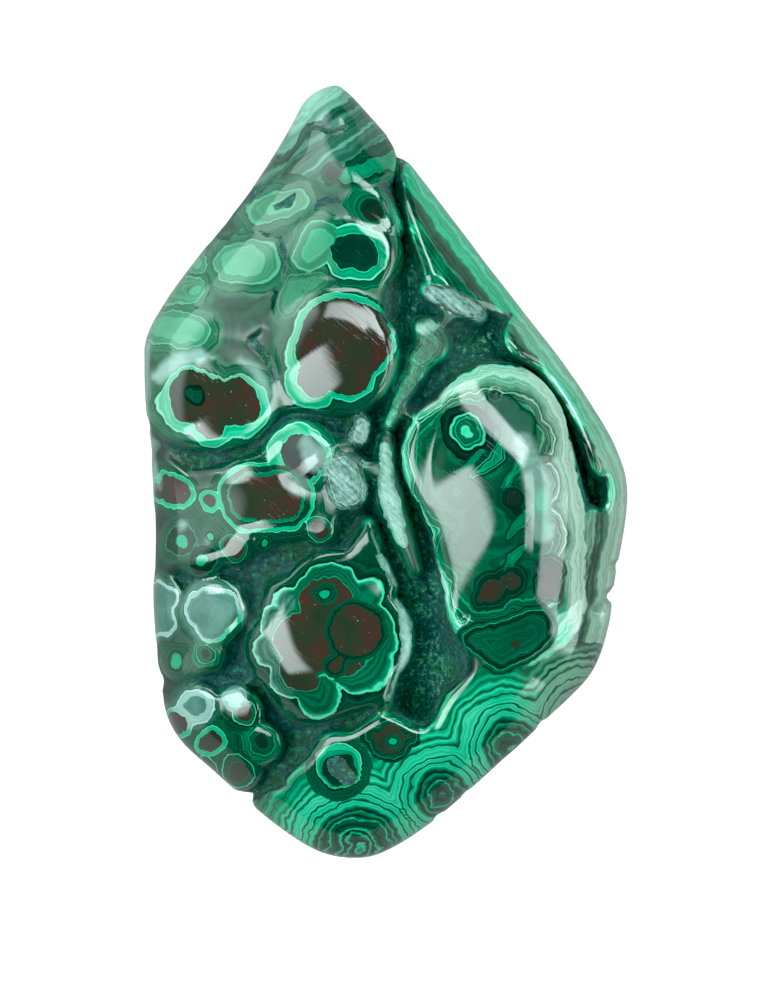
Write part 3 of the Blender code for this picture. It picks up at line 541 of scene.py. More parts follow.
INNER_EYES = {
    "heart_ring": ("ember", [(-3.0, -15.8, 3.0)], 0.12, 0.3),
    "eyelet": ("bead", [(-6.0, -12.1, 1.05)], 0.25, 0.35),
    "bullseye": ("target", [(7.8, 4.0, 2.5), (8.2, 3.4, 2.3)], 0.9, 1.1),
    "egg_gap": ("dusk", [(11.6, 5.8, 1.9), (12.8, 4.4, 2.0), (12.6, 3.0, 1.4), (10.9, 6.6, 1.3)], 0.2, 0.2),
    "egg_brown": ("shade", [(12.4, -2.6, 1.7), (12.8, -4.0, 1.2)], 0.5, 0.6),
    "egg_foot": ("brown", [(10.4, -11.8, 2.0), (12.2, -10.8, 1.8), (9.3, -12.6, 1.2)], 0.3, 0.6),
    "egg_side": ("brown", [(16.2, -9.8, 1.6), (16.0, -11.4, 1.7)], 0.3, 0.5),
    "egg_leaf_a": ("streak", [(11.6, 3.1, 0.5), (10.9, 1.5, 1.0), (8.6, -0.6, 0.5)], 0.25, 0.3),
    "egg_leaf_b": ("streak", [(15.9, 1.2, 0.4), (13.2, 0.8, 0.9), (11.4, -1.6, 0.5)], 0.25, 0.3),
    "egg_leaf_c": ("streak", [(14.6, -3.4, 0.4), (13.2, -5.0, 0.9), (11.9, -6.8, 0.4)], 0.25, 0.3),
    "egg_leaf_d": ("streak", [(9.4, 1.8, 0.4), (8.2, 0.6, 0.6), (6.6, -0.2, 0.3)], 0.2, 0.2),
    "egg_leaf_e": ("streak", [(13.6, -7.4, 0.5), (12.4, -8.6, 0.8), (11.6, -9.8, 0.4)], 0.25, 0.3),
    "egg_oval": ("pale", [(15.3, -2.4, 0.9), (15.4, -3.7, 0.9)], 0.2, 0.2),
    "egg_oval_low": ("pale", [(16.0, -5.4, 0.8), (16.0, -6.3, 0.7)], 0.2, 0.2),
    "egg_sole": ("foot", [(8.9, -16.6, 1.9), (11.4, -17.4, 2.9), (14.4, -15.8, 2.6)],
                 0.5, 0.8),
    "sole_eye": ("brown", [(12.8, -17.1, 1.7)], 0.5, 0.4),
    "double_core": ("inlay", [(-13.3, -2.6, 2.9), (-11.8, -2.7, 3.0), (-10.4, -2.7, 3.1)], 0.6, 0.12),
    "clover_heart": ("moss", [(-19.1, 7.5, 0.8), (-18.6, 7.3, 0.9)], 0.4, 0.4),
    # Painted highlight: a pale line down the heart's right rim, where its edge would catch the lamps
    "heart_rim_highlight": ("frost_and_highlight", [(-0.6, -8.6, 0.3), (1.5, -11.6, 0.45), (2.1, -15.4, 0.55),
                            (1.7, -19.4, 0.5), (0.3, -22.6, 0.3)], 0.2, 0.15),
    "lens": ("frost_and_highlight", [(0.0, 2.4, 0.4), (0.0, -1.4, 0.8), (0.7, -4.4, 0.95), (1.7, -7.2, 0.5)], 0.3, 0.2),
    "shard": ("frost_and_highlight", [(3.4, 13.9, 0.5), (4.6, 14.2, 0.55)], 0.15, 0.15),
    "wedge": ("wedge", [(-14.4, 15.0, 0.35), (-12.5, 15.8, 1.0), (-11.0, 17.2, 0.45)], 0.3, 0.3),
    "wave_top": ("wedge", [(-3.6, 30.3, 0.3), (-2.2, 31.1, 0.5), (-0.8, 31.7, 0.55), (0.3, 32.3, 0.5)],
                 0.2, 0.2),
    "cap_shadow": ("wedge", [(-9.9, 31.2, 0.3), (-8.1, 34.0, 0.55), (-6.6, 34.5, 0.4)], 0.2, 0.2),
    "block_spot": ("bead", [(0.7, -26.9, 0.75)], 0.15, 0.2),
    "ember_spot": ("ember", [(-5.0, -19.3, 1.1), (-4.4, -18.6, 0.8)], 0.15, 0.3),
}

# %% How each look is toned: core, ring, outer, brown, then lines, fine rings, dullness
LOOKS = {
    "dark": (0.12, 0.67, 0.38, 0.9, 0.45, 0.36, 0.0),
    "rimmed": (0.16, 0.36, 0.36, 1.0, 1.1, 0.34, 0.0),
    "olive": (0.18, 0.45, 0.32, 1.0, 1.0, 0.24, 0.0),
    "haloed": (0.16, 0.72, 0.42, 0.95, 0.45, 0.36, 0.0),
    "night": (0.10, 0.72, 0.50, 0.0, 0.5, 0.30, 0.0),
    # A pale frosted look, also used for the painted highlight on the heart's right rim
    "frost_and_highlight": (0.66, 0.62, 0.54, 0.0, 0.1, 0.40, 0.5),
    "moss": (0.24, 0.30, 0.20, 0.55, 0.2, 0.50, 0.0),
    "hazel": (0.26, 0.34, 0.26, 0.8, 0.8, 0.50, 0.0),
    "dusk": (0.42, 0.40, 0.28, 0.35, 0.2, 0.30, 0.0),
    "wedge": (0.34, 0.32, 0.28, 0.0, 0.0, 0.22, 0.0),
    "fern": (0.24, 0.62, 0.40, 0.0, 0.7, 0.35, 0.0),
    "dim": (0.22, 0.40, 0.46, 0.2, 0.7, 0.50, 0.0),
    "leaf": (0.55, 0.50, 0.26, 0.0, 0.5, 0.60, 0.0),
    "pale": (0.65, 0.56, 0.46, 0.0, 0.40, 0.22, 0.0),
    "misty": (0.54, 0.48, 0.44, 0.0, 0.15, 0.22, 0.0),
    "inlay": (0.14, 0.50, 0.30, 1.0, 0.5, 0.30, 0.0),
    "streak": (0.52, 0.46, 0.28, 0.0, 0.4, 0.90, 0.0),
    "crust": (0.50, 0.46, 0.30, 0.0, 0.2, 1.20, 0.6),
    "moon": (0.42, 0.68, 0.40, 0.0, 0.4, 0.16, 0.0),
    "bead": (0.64, 0.26, 0.36, 0.0, 0.6, 0.35, 0.0),
    "rough": (0.58, 0.54, 0.38, 0.0, 0.3, 0.70, 1.0),
    "ember": (0.16, 0.24, 0.34, 1.0, 0.7, 0.30, 0.0),
    "egg": (0.38, 0.46, 0.68, 0.1, 0.7, 0.95, 0.0),
    "target": (0.78, 0.50, 0.16, 0.0, 0.6, 0.70, 0.0),
    "shade": (0.14, 0.20, 0.28, 0.3, 0.5, 0.40, 0.0),
    "foot": (0.38, 0.34, 0.34, 0.0, 0.8, 0.80, 0.0),
    "brown": (0.22, 0.26, 0.28, 1.0, 0.5, 0.35, 0.0),
    "pocket": (0.26, 0.62, 0.38, 0.0, 0.5, 0.50, 0.0),
}
DRAWN_OUT = ("pale", "misty", "streak", "crust", "rough", "foot", "dim", "frost_and_highlight", "wedge")
print(len(EYES) + len(INNER_EYES), "eyes in", len(LOOKS), "looks")

# %% [markdown]
# ## From outlines to numbers on the mesh
# A ring painted on the corners of the mesh would be as coarse as the mesh. A distance is
# smooth, so it can be stored on the corners and still be cut sharply by the material at every
# pixel. So each corner stores distances only. Where two eyes meet, the smaller growth wins,
# which keeps the stored number smooth across the join. The small eyes inside larger ones get
# a second set of numbers of their own, laid over the first.


# %% Distances to the eyes
def inside_circles(plan, circles):
    x, y, radius = np.array(circles, float).T
    distance = np.hypot(plan[:, :1] - x, plan[:, 1:] - y)
    return (radius - distance).max(axis=1)


def inside_ring(plan, outer, spec, measure):
    """Inside distance of an outline given as circles, or as a plain step in from the outer."""
    return outer - spec if isinstance(spec, (int, float)) else measure(plan, spec)


def eye_growth(plan, outer, line, core, measure):
    middle = np.minimum(inside_ring(plan, outer, line, measure), outer - 0.02)
    inner = np.minimum(inside_ring(plan, middle, core, measure), middle - 0.02)
    in_core = 1.0 - inner / max(inner.max(), 0.1)
    in_ring = 1.0 - inner / np.maximum(middle - inner, 1e-6)
    past_line = np.where(outer > 0.0, 2.0 - middle / np.maximum(outer - middle, 1e-6), 3.0 - outer)
    return np.where(inner > 0.0, in_core, np.where(middle > 0.0, in_ring, past_line))


def read_eyes(plan, eyes):
    """The growth and the tones that the nearest eye gives each plan point."""
    growth = np.full(len(plan), 90.0)
    tones = np.zeros((len(plan), 8))
    for number, (look, body, line, core) in enumerate(eyes.values()):
        measure = inside_chain if look in DRAWN_OUT else inside_circles
        own = eye_growth(plan, measure(plan, body), line, core, measure)
        mine = own < growth
        growth = np.where(mine, own, growth)
        tones[mine] = (*LOOKS[look], 1.7 * number)
    return growth, tones


# %% Places with straight layers: the cap, the flanks and the agate block
LOBES = ((12.2, -27.2, 6.4), (5.4, -32.0, 6.2), (-2.8, -37.6, 8.0), (20.5, -26.0, 7.8))
CAP_RUN = math.radians(36.0)


def read_layers(plan):
    """Distances for the places whose layers aren't round: all of them run on smoothly."""
    cap = inside_loop(plan, NODULE_LOOPS["cap"])
    across = plan[:, 1] * math.cos(CAP_RUN) - plan[:, 0] * math.sin(CAP_RUN)
    flank = np.maximum(
        inside_loop(plan, NODULE_LOOPS["upper_flank"]), inside_loop(plan, NODULE_LOOPS["right_flank"])
    )
    return {
        "outline_distance": inside_loop(plan, OUTLINE, 6),
        "cap_inside": cap,
        "cap_across": across,
        "flank_inside": flank,
        "block_inside": inside_loop(plan, NODULE_LOOPS["agate"]),
        "lobe_depth": inside_circles(plan, LOBES),
    }


# %% Storing the numbers on the stone
def store(mesh, name, values):
    mesh.attributes.new(name, "FLOAT", "POINT").data.foreach_set("value", values.astype(np.float32))


def store_four(mesh, name, values):
    layer = mesh.attributes.new(name, "FLOAT_COLOR", "POINT")
    layer.data.foreach_set("color", values.astype(np.float32).ravel())


def wobbled(plan, places):
    """Outlines made a little uneven, as growth is."""
    slow = np.stack((rough(places, 0.45, 6), rough(places, 0.45, 7)), axis=1)
    quick = np.stack((rough(places, 1.3, 8), rough(places, 1.3, 9)), axis=1)
    return plan + 0.34 * slow + 0.20 * quick


def pale_skin_and_veil(plan):
    """Share of the greyish outer layers on the right flank and the egg's shell, and of a painted pale veil of
    reflection over the upper left.
    """
    x, y = plan.T
    flank = smooth_step(0.0, 1.0, inside_loop(plan, NODULE_LOOPS["right_flank"]))
    flank *= 0.45 + 0.55 * smooth_step(6.0, -3.0, y)
    egg = inside_circles(plan, EYES["egg"][1])
    shell = smooth_step(0.0, 0.2, egg) * smooth_step(3.2, 2.4, egg - 0.12 * (x - 11.0))
    shell *= np.maximum(smooth_step(14.0, 16.0, x), smooth_step(5.0, 7.0, y))
    shell *= (0.45 + 0.35 * smooth_step(14.0, 17.0, x)) * smooth_step(-14.0, -10.0, y)
    # Painted reflection: a pale greyish veil over the upper left, where the polish mirrors the broad wash of light.
    upper_left_veil = 0.30 * smooth_step(-2.0, 3.0, y - 12.0 - 0.5 * (x + 4.0)) * smooth_step(-4.0, -7.0, x)
    beside = 0.5 * smooth_step(0.0, 1.0, inside_loop(plan, NODULE_LOOPS["agate"])) * smooth_step(12.0, 17.0, x)
    return np.maximum.reduce((0.85 * flank, shell, upper_left_veil, beside))


def cool_skin(plan):
    """Share of the bluish grey: outer layers of the moons and the heart's left side, frosted spots, and the painted
    highlight on the heart's right rim.
    """
    x, y = plan.T
    moons = [circle for name in ("moon", "edge_moon", "corner_moon", "corner_pale") for circle in EYES[name][1]]
    moon = 0.9 * smooth_step(0.1, 0.5, inside_circles(plan, moons))
    moon *= smooth_step(3.6, 1.8, x + 17.1 - (y + 13.9)) + smooth_step(-18.0, -20.0, y)
    frost_and_highlight = np.max([
        inside_chain(plan, circles) for look, circles, _, _ in INNER_EYES.values() if look == "frost_and_highlight"
    ], axis=0)
    rough_ones = np.max([
        inside_chain(plan, circles) for look, circles, _, _ in EYES.values() if look == "rough"
    ], axis=0)
    left = 0.4 * smooth_step(0.0, 0.4, inside_circles(plan, EYES["heart"][1]))
    left *= smooth_step(-8.9, -9.6, x + 0.5 * np.sin(1.6 * y))
    cap = 0.5 * smooth_step(0.0, 1.0, inside_loop(plan, NODULE_LOOPS["cap"]))
    cap *= smooth_step(30.0, 33.0, y - 0.35 * (x + 2.0))
    dusk = 0.6 * smooth_step(0.2, 0.7, inside_circles(plan, INNER_EYES["egg_gap"][1]))
    # Bluish pale on the frosted spots and on the painted rim highlight
    frost_and_highlight_share = 0.8 * smooth_step(-0.1, 0.1, frost_and_highlight)
    return np.maximum.reduce((moon, frost_and_highlight_share, 0.9 * smooth_step(-0.1, 0.1, rough_ones), left, dusk, cap))


# %% Seams where pale nodules meet: thin crystalline gaps that are only coloured
SEAMS = (
    [(-15.9, 24.9, 0.22), (-12.8, 27.9, 0.42), (-10.6, 29.3, 0.25)],
    [(-12.6, 23.6, 0.15), (-10.6, 22.7, 0.26), (-9.8, 20.6, 0.22), (-10.1, 18.8, 0.15)],
    [(-6.9, 25.9, 0.2), (-5.6, 26.9, 0.5), (-4.5, 26.3, 0.2)],
    [(-13.4, 12.9, 0.2), (-11.9, 11.6, 0.5), (-11.1, 8.8, 0.25)],
    [(-8.4, 33.7, 0.12), (-6.8, 34.2, 0.24), (-5.4, 33.6, 0.3), (-4.0, 34.0, 0.15)],
    [(-17.4, 23.6, 0.15), (-15.9, 23.0, 0.36), (-14.2, 23.9, 0.12)],
    [(-10.7, 26.0, 0.25), (-9.6, 26.6, 0.42), (-8.9, 27.3, 0.15)],
    [(-4.9, -29.1, 0.9), (-3.8, -30.3, 0.8)],
)


def inside_seams(plan):
    return np.max([inside_chain(plan, chain) for chain in SEAMS], axis=0)


# %% Painted highlights, pale milky streaks where the polished tops would mirror the lamps: chains of circles and how strong each is
PAINTED_HIGHLIGHTS = (
    ([(-22.3, 9.2, 0.9), (-20.5, 10.8, 1.2), (-18.5, 11.2, 1.1), (-17.0, 11.0, 0.5)], 0.75),
    ([(-14.4, 10.9, 0.6), (-12.9, 9.8, 0.9), (-11.6, 7.6, 0.8), (-11.5, 5.4, 0.5)], 0.45),
    ([(-23.8, 12.4, 0.9), (-24.1, 8.0, 1.6), (-23.9, 3.2, 1.2), (-23.4, -1.5, 1.0)], 0.55),
    ([(-7.6, 2.7, 1.1), (-6.8, 1.1, 1.6)], 0.60),
    ([(-8.4, -1.5, 1.4)], 0.40),
    ([(13.6, 2.8, 1.3), (15.0, -1.5, 1.7), (15.4, -6.2, 1.3)], 0.45),
    ([(-20.2, -5.5, 0.8)], 0.50),
    ([(-17.6, -7.0, 0.6)], 0.40),
    ([(-13.9, -13.2, 0.7), (-13.5, -15.2, 0.6)], 0.35),
)
HIGHLIGHT_HEIGHTS = (11.0, 17.0)


# Painted highlight: how strongly the pale streak colour is laid over each place
def painted_highlight(plan):
    return np.max([
        strength * smooth_step(0.0, 0.8, inside_chain(plan, chain)) for chain, strength in PAINTED_HIGHLIGHTS
    ], axis=0)


def mark_stone(stone, places):
    mesh = stone.data
    plan = swayed(places)
    drawn = wobbled(plan, places)
    for suffix, eyes in (("outer", EYES), ("inner", INNER_EYES)):
        growth, tones = read_eyes(drawn, eyes)
        store(mesh, f"growth_{suffix}", growth)
        store_four(mesh, f"tones_{suffix}", tones[:, :4])
        store_four(mesh, f"lines_{suffix}", tones[:, 4:])
    for name, values in read_layers(drawn).items():
        store(mesh, name, values)
    store(mesh, "nodule_inside", inside_nodules(plan))
    store(mesh, "pale_skin_and_veil", pale_skin_and_veil(drawn))
    store(mesh, "cool_skin", cool_skin(drawn))
    store(mesh, "seam_inside", inside_seams(drawn))
    # The painted highlights are kept to the show face
    store(mesh, "painted_highlight", painted_highlight(drawn) * smooth_step(*HIGHLIGHT_HEIGHTS, places[:, 2]))
    store(mesh, "cleft_depth", ground_depth(plan))


mark_stone(stone, plain_places)
print("stored on the stone:", len(stone.data.attributes), "attributes")

# %% [markdown]
# ## Materials
# Malachite has one long scale of greens, from nearly black to pale mint, and every ring is a
# place on it. So the first group turns a lightness into a green, and the others work out the
# lightness: rings round an eye, straight layers, and the dark crystalline ground of the
# clefts.


# %% Small helpers for node trees
STUDIO_GAIN = 0.83


def srgb(red, green, blue):
    """A colour as it looks under the studio's lamps, 0 to 255, as the linear values it needs."""
    share = np.array((red, green, blue)) / 255.0
    linear = np.where(share <= 0.04045, share / 12.92, ((share + 0.055) / 1.055) ** 2.4)
    return (*(linear * STUDIO_GAIN).tolist(), 1.0)


def new_group(name, inputs, outputs):
    tree = bpy.data.node_groups.new(name, "ShaderNodeTree")
    for label, value in inputs:
        socket = tree.interface.new_socket(label, in_out="INPUT", socket_type="NodeSocketFloat")
        socket.default_value = value
    for label, kind in outputs:
        tree.interface.new_socket(label, in_out="OUTPUT", socket_type=f"NodeSocket{kind}")
    return tree, tree.nodes.new("NodeGroupInput").outputs, tree.nodes.new("NodeGroupOutput").inputs


def connect(tree, node, links):
    for key, value in links.items():
        if isinstance(value, bpy.types.NodeSocket):
            tree.links.new(value, node.inputs[key])
        else:
            node.inputs[key].default_value = value
    return node


def add(tree, kind, links=None, **settings):
    """A node with its settings, and its inputs linked or set by name or number."""
    node = tree.nodes.new(f"ShaderNode{kind}")
    for key, value in settings.items():
        setattr(node, key, value)
    return connect(tree, node, links or {})


def use_group(tree, group, links):
    return connect(tree, add(tree, "Group", node_tree=group), links).outputs


def calc(tree, operation, *values):
    return add(tree, "Math", dict(enumerate(values)), operation=operation).outputs[0]


def ease(tree, value, low, high):
    """0 at low, 1 at high, and an S curve between; low may be the larger."""
    links = {0: value, 1: low, 2: high}
    return add(tree, "MapRange", links, interpolation_type="SMOOTHSTEP").outputs[0]


def ramp(tree, factor, stops, interpolation="LINEAR"):
    node = add(tree, "ValToRGB", {0: factor})
    node.color_ramp.interpolation = interpolation
    elements = node.color_ramp.elements
    while len(elements) < len(stops):
        elements.new(0.5)
    for element, (position, color) in zip(elements, stops):
        element.position = position
        element.color = color if isinstance(color, tuple) else (color, color, color, 1.0)
    return node.outputs[0]


def blend(tree, factor, first, second):
    return add(tree, "Mix", {0: factor, 2: first, 3: second}).outputs[0]


def blend_colors(tree, factor, first, second):
    return add(tree, "Mix", {0: factor, 6: first, 7: second}, data_type="RGBA").outputs[2]


def stored(tree, name):
    return add(tree, "Attribute", attribute_name=name).outputs["Fac"]


def stored_four(tree, name):
    node = add(tree, "Attribute", attribute_name=name)
    parts = add(tree, "SeparateColor", {0: node.outputs["Color"]})
    return [*parts.outputs[:3], node.outputs["Alpha"]]


def noise_of(tree, links, dimensions="3D"):
    return add(tree, "TexNoise", links, noise_dimensions=dimensions).outputs["Fac"]


# %% Group: the scale of greens
GREENS = (
    (0.00, srgb(0, 8, 8)), (0.10, srgb(0, 22, 16)), (0.24, srgb(0, 54, 36)),
    (0.42, srgb(0, 96, 64)), (0.56, srgb(0, 142, 98)), (0.67, srgb(6, 186, 134)),
    (0.77, srgb(52, 216, 168)), (0.87, srgb(128, 234, 198)), (1.00, srgb(208, 246, 232)),
)
PALE_SKIN = (
    (0.30, srgb(70, 120, 92)), (0.50, srgb(120, 164, 136)), (0.66, srgb(162, 192, 170)),
    (0.85, srgb(204, 226, 210)),
)
# The colour of the painted highlights
HIGHLIGHT_COLOR = srgb(180, 222, 210)
COOL_SKIN = (
    (0.24, srgb(30, 88, 82)), (0.46, srgb(106, 160, 150)), (0.62, srgb(146, 196, 184)),
    (0.82, srgb(206, 238, 228)),
)


def build_greens():
    tree, start, end = new_group("scale_of_greens", [("Lightness", 0.5)], [("Color", "Color")])
    tree.links.new(ramp(tree, start[0], GREENS), end[0])
    return tree


GREENS_GROUP = build_greens()

# %% Group: the rings of an eye
RING_LINES = (
    (0.0, 0.50), (0.20, 0.50), (0.285, 0.52), (0.305, 0.60), (0.32, 0.44), (0.336, 0.66),
    (0.352, 0.62), (0.368, 0.40), (0.42, 0.52), (0.46, 0.44), (0.50, 0.55), (0.54, 0.40),
    (0.575, 0.46), (0.600, 0.58), (0.622, 0.76), (0.636, 0.86), (0.660, 0.84), (0.668, 0.66),
    (0.684, 0.32), (0.74, 0.46), (0.79, 0.55), (0.83, 0.42), (0.88, 0.55), (0.93, 0.44),
    (0.965, 0.62), (1.0, 0.42),
)


def build_rings():
    tree, start, end = new_group(
        "rings_of_an_eye",
        [("Growth", 1.5), ("Core Light", 0.1), ("Ring Light", 0.6), ("Outer Light", 0.3),
         ("Lines", 1.0), ("Fine Rings", 0.4), ("Seed", 0.0)],
        [("Lightness", "Float"), ("Core", "Float")],
    )
    growth, core, ring, outer, strength, fine, seed = start[:7]
    past_core = ease(tree, growth, 0.96, 1.04)
    past_line = ease(tree, growth, 1.98, 2.06)
    base = blend(tree, past_line, blend(tree, past_core, core, ring), outer)
    lines = calc(tree, "SUBTRACT", ramp(tree, calc(tree, "DIVIDE", growth, 3.0), RING_LINES), 0.5)
    place = calc(tree, "MULTIPLY_ADD", growth, 6.5, seed)
    wave = noise_of(tree, {"W": place, "Scale": 1.0, "Detail": 2.0, "Roughness": 0.6}, "1D")
    broad = noise_of(tree, {"W": calc(tree, "MULTIPLY_ADD", growth, 1.7, seed), "Scale": 1.0}, "1D")
    wave = blend(tree, 0.4, wave, broad)
    wave = calc(tree, "MULTIPLY", calc(tree, "SUBTRACT", wave, 0.5), calc(tree, "MULTIPLY", fine, 1.4))
    wave = calc(tree, "MULTIPLY", wave, blend(tree, past_core, 0.35, 1.0))
    total = calc(tree, "ADD", base, calc(tree, "MULTIPLY", lines, strength))
    tree.links.new(calc(tree, "ADD", total, wave), end[0])
    tree.links.new(calc(tree, "SUBTRACT", 1.0, past_core), end[1])
    return tree


RINGS_GROUP = build_rings()


# %% Group: fine layers along a distance
def build_layers():
    tree, start, end = new_group(
        "fine_layers", [("Distance", 0.0), ("Period", 0.55), ("Thinness", 1.0), ("Seed", 0.0)],
        [("Layer", "Float"), ("Dark Line", "Float")],
    )
    distance, period, thinness, seed = start[:4]
    shifted = calc(tree, "ADD", distance, seed)
    drift = noise_of(tree, {"W": shifted, "Scale": 0.9, "Detail": 1.0}, "1D")
    turn = calc(tree, "DIVIDE", calc(tree, "MULTIPLY", distance, 2.0 * math.pi), period)
    turn = calc(tree, "MULTIPLY_ADD", drift, 9.0, turn)
    wave = calc(tree, "MULTIPLY_ADD", calc(tree, "SINE", turn), 0.5, 0.5)
    fine = noise_of(tree, {"W": shifted, "Scale": 3.2, "Detail": 2.0}, "1D")
    tree.links.new(blend(tree, 0.45, wave, fine), end[0])
    tree.links.new(calc(tree, "POWER", wave, thinness), end[1])
    return tree


LAYERS_GROUP = build_layers()
print("groups:", [group.name for group in bpy.data.node_groups])

# %% Layers of the block, the flanks and the cap, as lightness along their distance
BLOCK_START, BLOCK_REACH = -4.0, 12.0
BLOCK_LAYERS = (
    (0.00, 0.46), (0.17, 0.50), (0.19, 0.66), (0.21, 0.52), (0.27, 0.56), (0.285, 0.74), (0.30, 0.60),
    (0.33, 0.70), (0.40, 0.75), (0.62, 0.74), (0.66, 0.66), (0.70, 0.44), (0.78, 0.36), (1.0, 0.34),
)
FLANK_REACH = 8.0
FLANK_LAYERS = (
    (0.0, 0.66), (0.05, 0.72), (0.12, 0.74), (0.14, 0.62), (0.22, 0.66), (0.24, 0.76), (0.26, 0.44), (0.29, 0.30),
    (0.38, 0.32), (0.42, 0.54), (0.50, 0.46), (0.60, 0.52), (0.72, 0.44), (0.88, 0.50), (1.0, 0.48),
)
CAP_START, CAP_REACH = 25.0, 10.0
CAP_LAYERS = (
    (0.0, 0.46), (0.20, 0.46), (0.30, 0.38), (0.34, 0.50), (0.36, 0.64), (0.38, 0.44), (0.48, 0.36),
    (0.58, 0.46), (0.65, 0.32), (0.70, 0.38), (0.73, 0.64), (0.77, 0.50), (0.84, 0.70), (1.0, 0.78),
)

# %% Material: the polished stone
SCRATCH = 0.0045
SCRATCH_TURN = math.radians(-42.0)
BROWNS = (
    (0.32, srgb(42, 60, 38)), (0.44, srgb(56, 60, 42)), (0.58, srgb(68, 54, 40)), (0.72, srgb(88, 46, 38)),
)
TEALS = (
    (0.30, srgb(0, 40, 44)), (0.44, srgb(0, 74, 74)), (0.56, srgb(0, 108, 98)),
    (0.66, srgb(20, 150, 124)), (0.74, srgb(160, 215, 195)),
)
MOSSES = ((0.30, srgb(0, 36, 22)), (0.46, srgb(0, 82, 50)), (0.60, srgb(0, 128, 84)), (0.72, srgb(90, 205, 160)))


def eye_light(tree, suffix, jitter):
    """Lightness, brownness, dullness and growth of one set of eyes."""
    growth = calc(tree, "ADD", stored(tree, f"growth_{suffix}"), jitter)
    core, ring, outer, brown = stored_four(tree, f"tones_{suffix}")
    lines, fine, dull, seed = stored_four(tree, f"lines_{suffix}")
    rings = use_group(tree, RINGS_GROUP, {
        "Growth": growth, "Core Light": core, "Ring Light": ring, "Outer Light": outer,
        "Lines": lines, "Fine Rings": fine, "Seed": seed,
    })
    return rings[0], calc(tree, "MULTIPLY", rings[1], brown), dull, growth


def layer_light(tree, name, start, reach, stops, period, swing):
    """Lightness along one stored distance: the broad layers, then fine ones on top."""
    distance = stored(tree, name)
    share = calc(tree, "DIVIDE", calc(tree, "SUBTRACT", distance, start), reach)
    fine = use_group(tree, LAYERS_GROUP, {"Distance": distance, "Period": period})[0]
    fine = calc(tree, "MULTIPLY", calc(tree, "SUBTRACT", fine, 0.5), swing)
    return calc(tree, "ADD", ramp(tree, share, stops), fine)


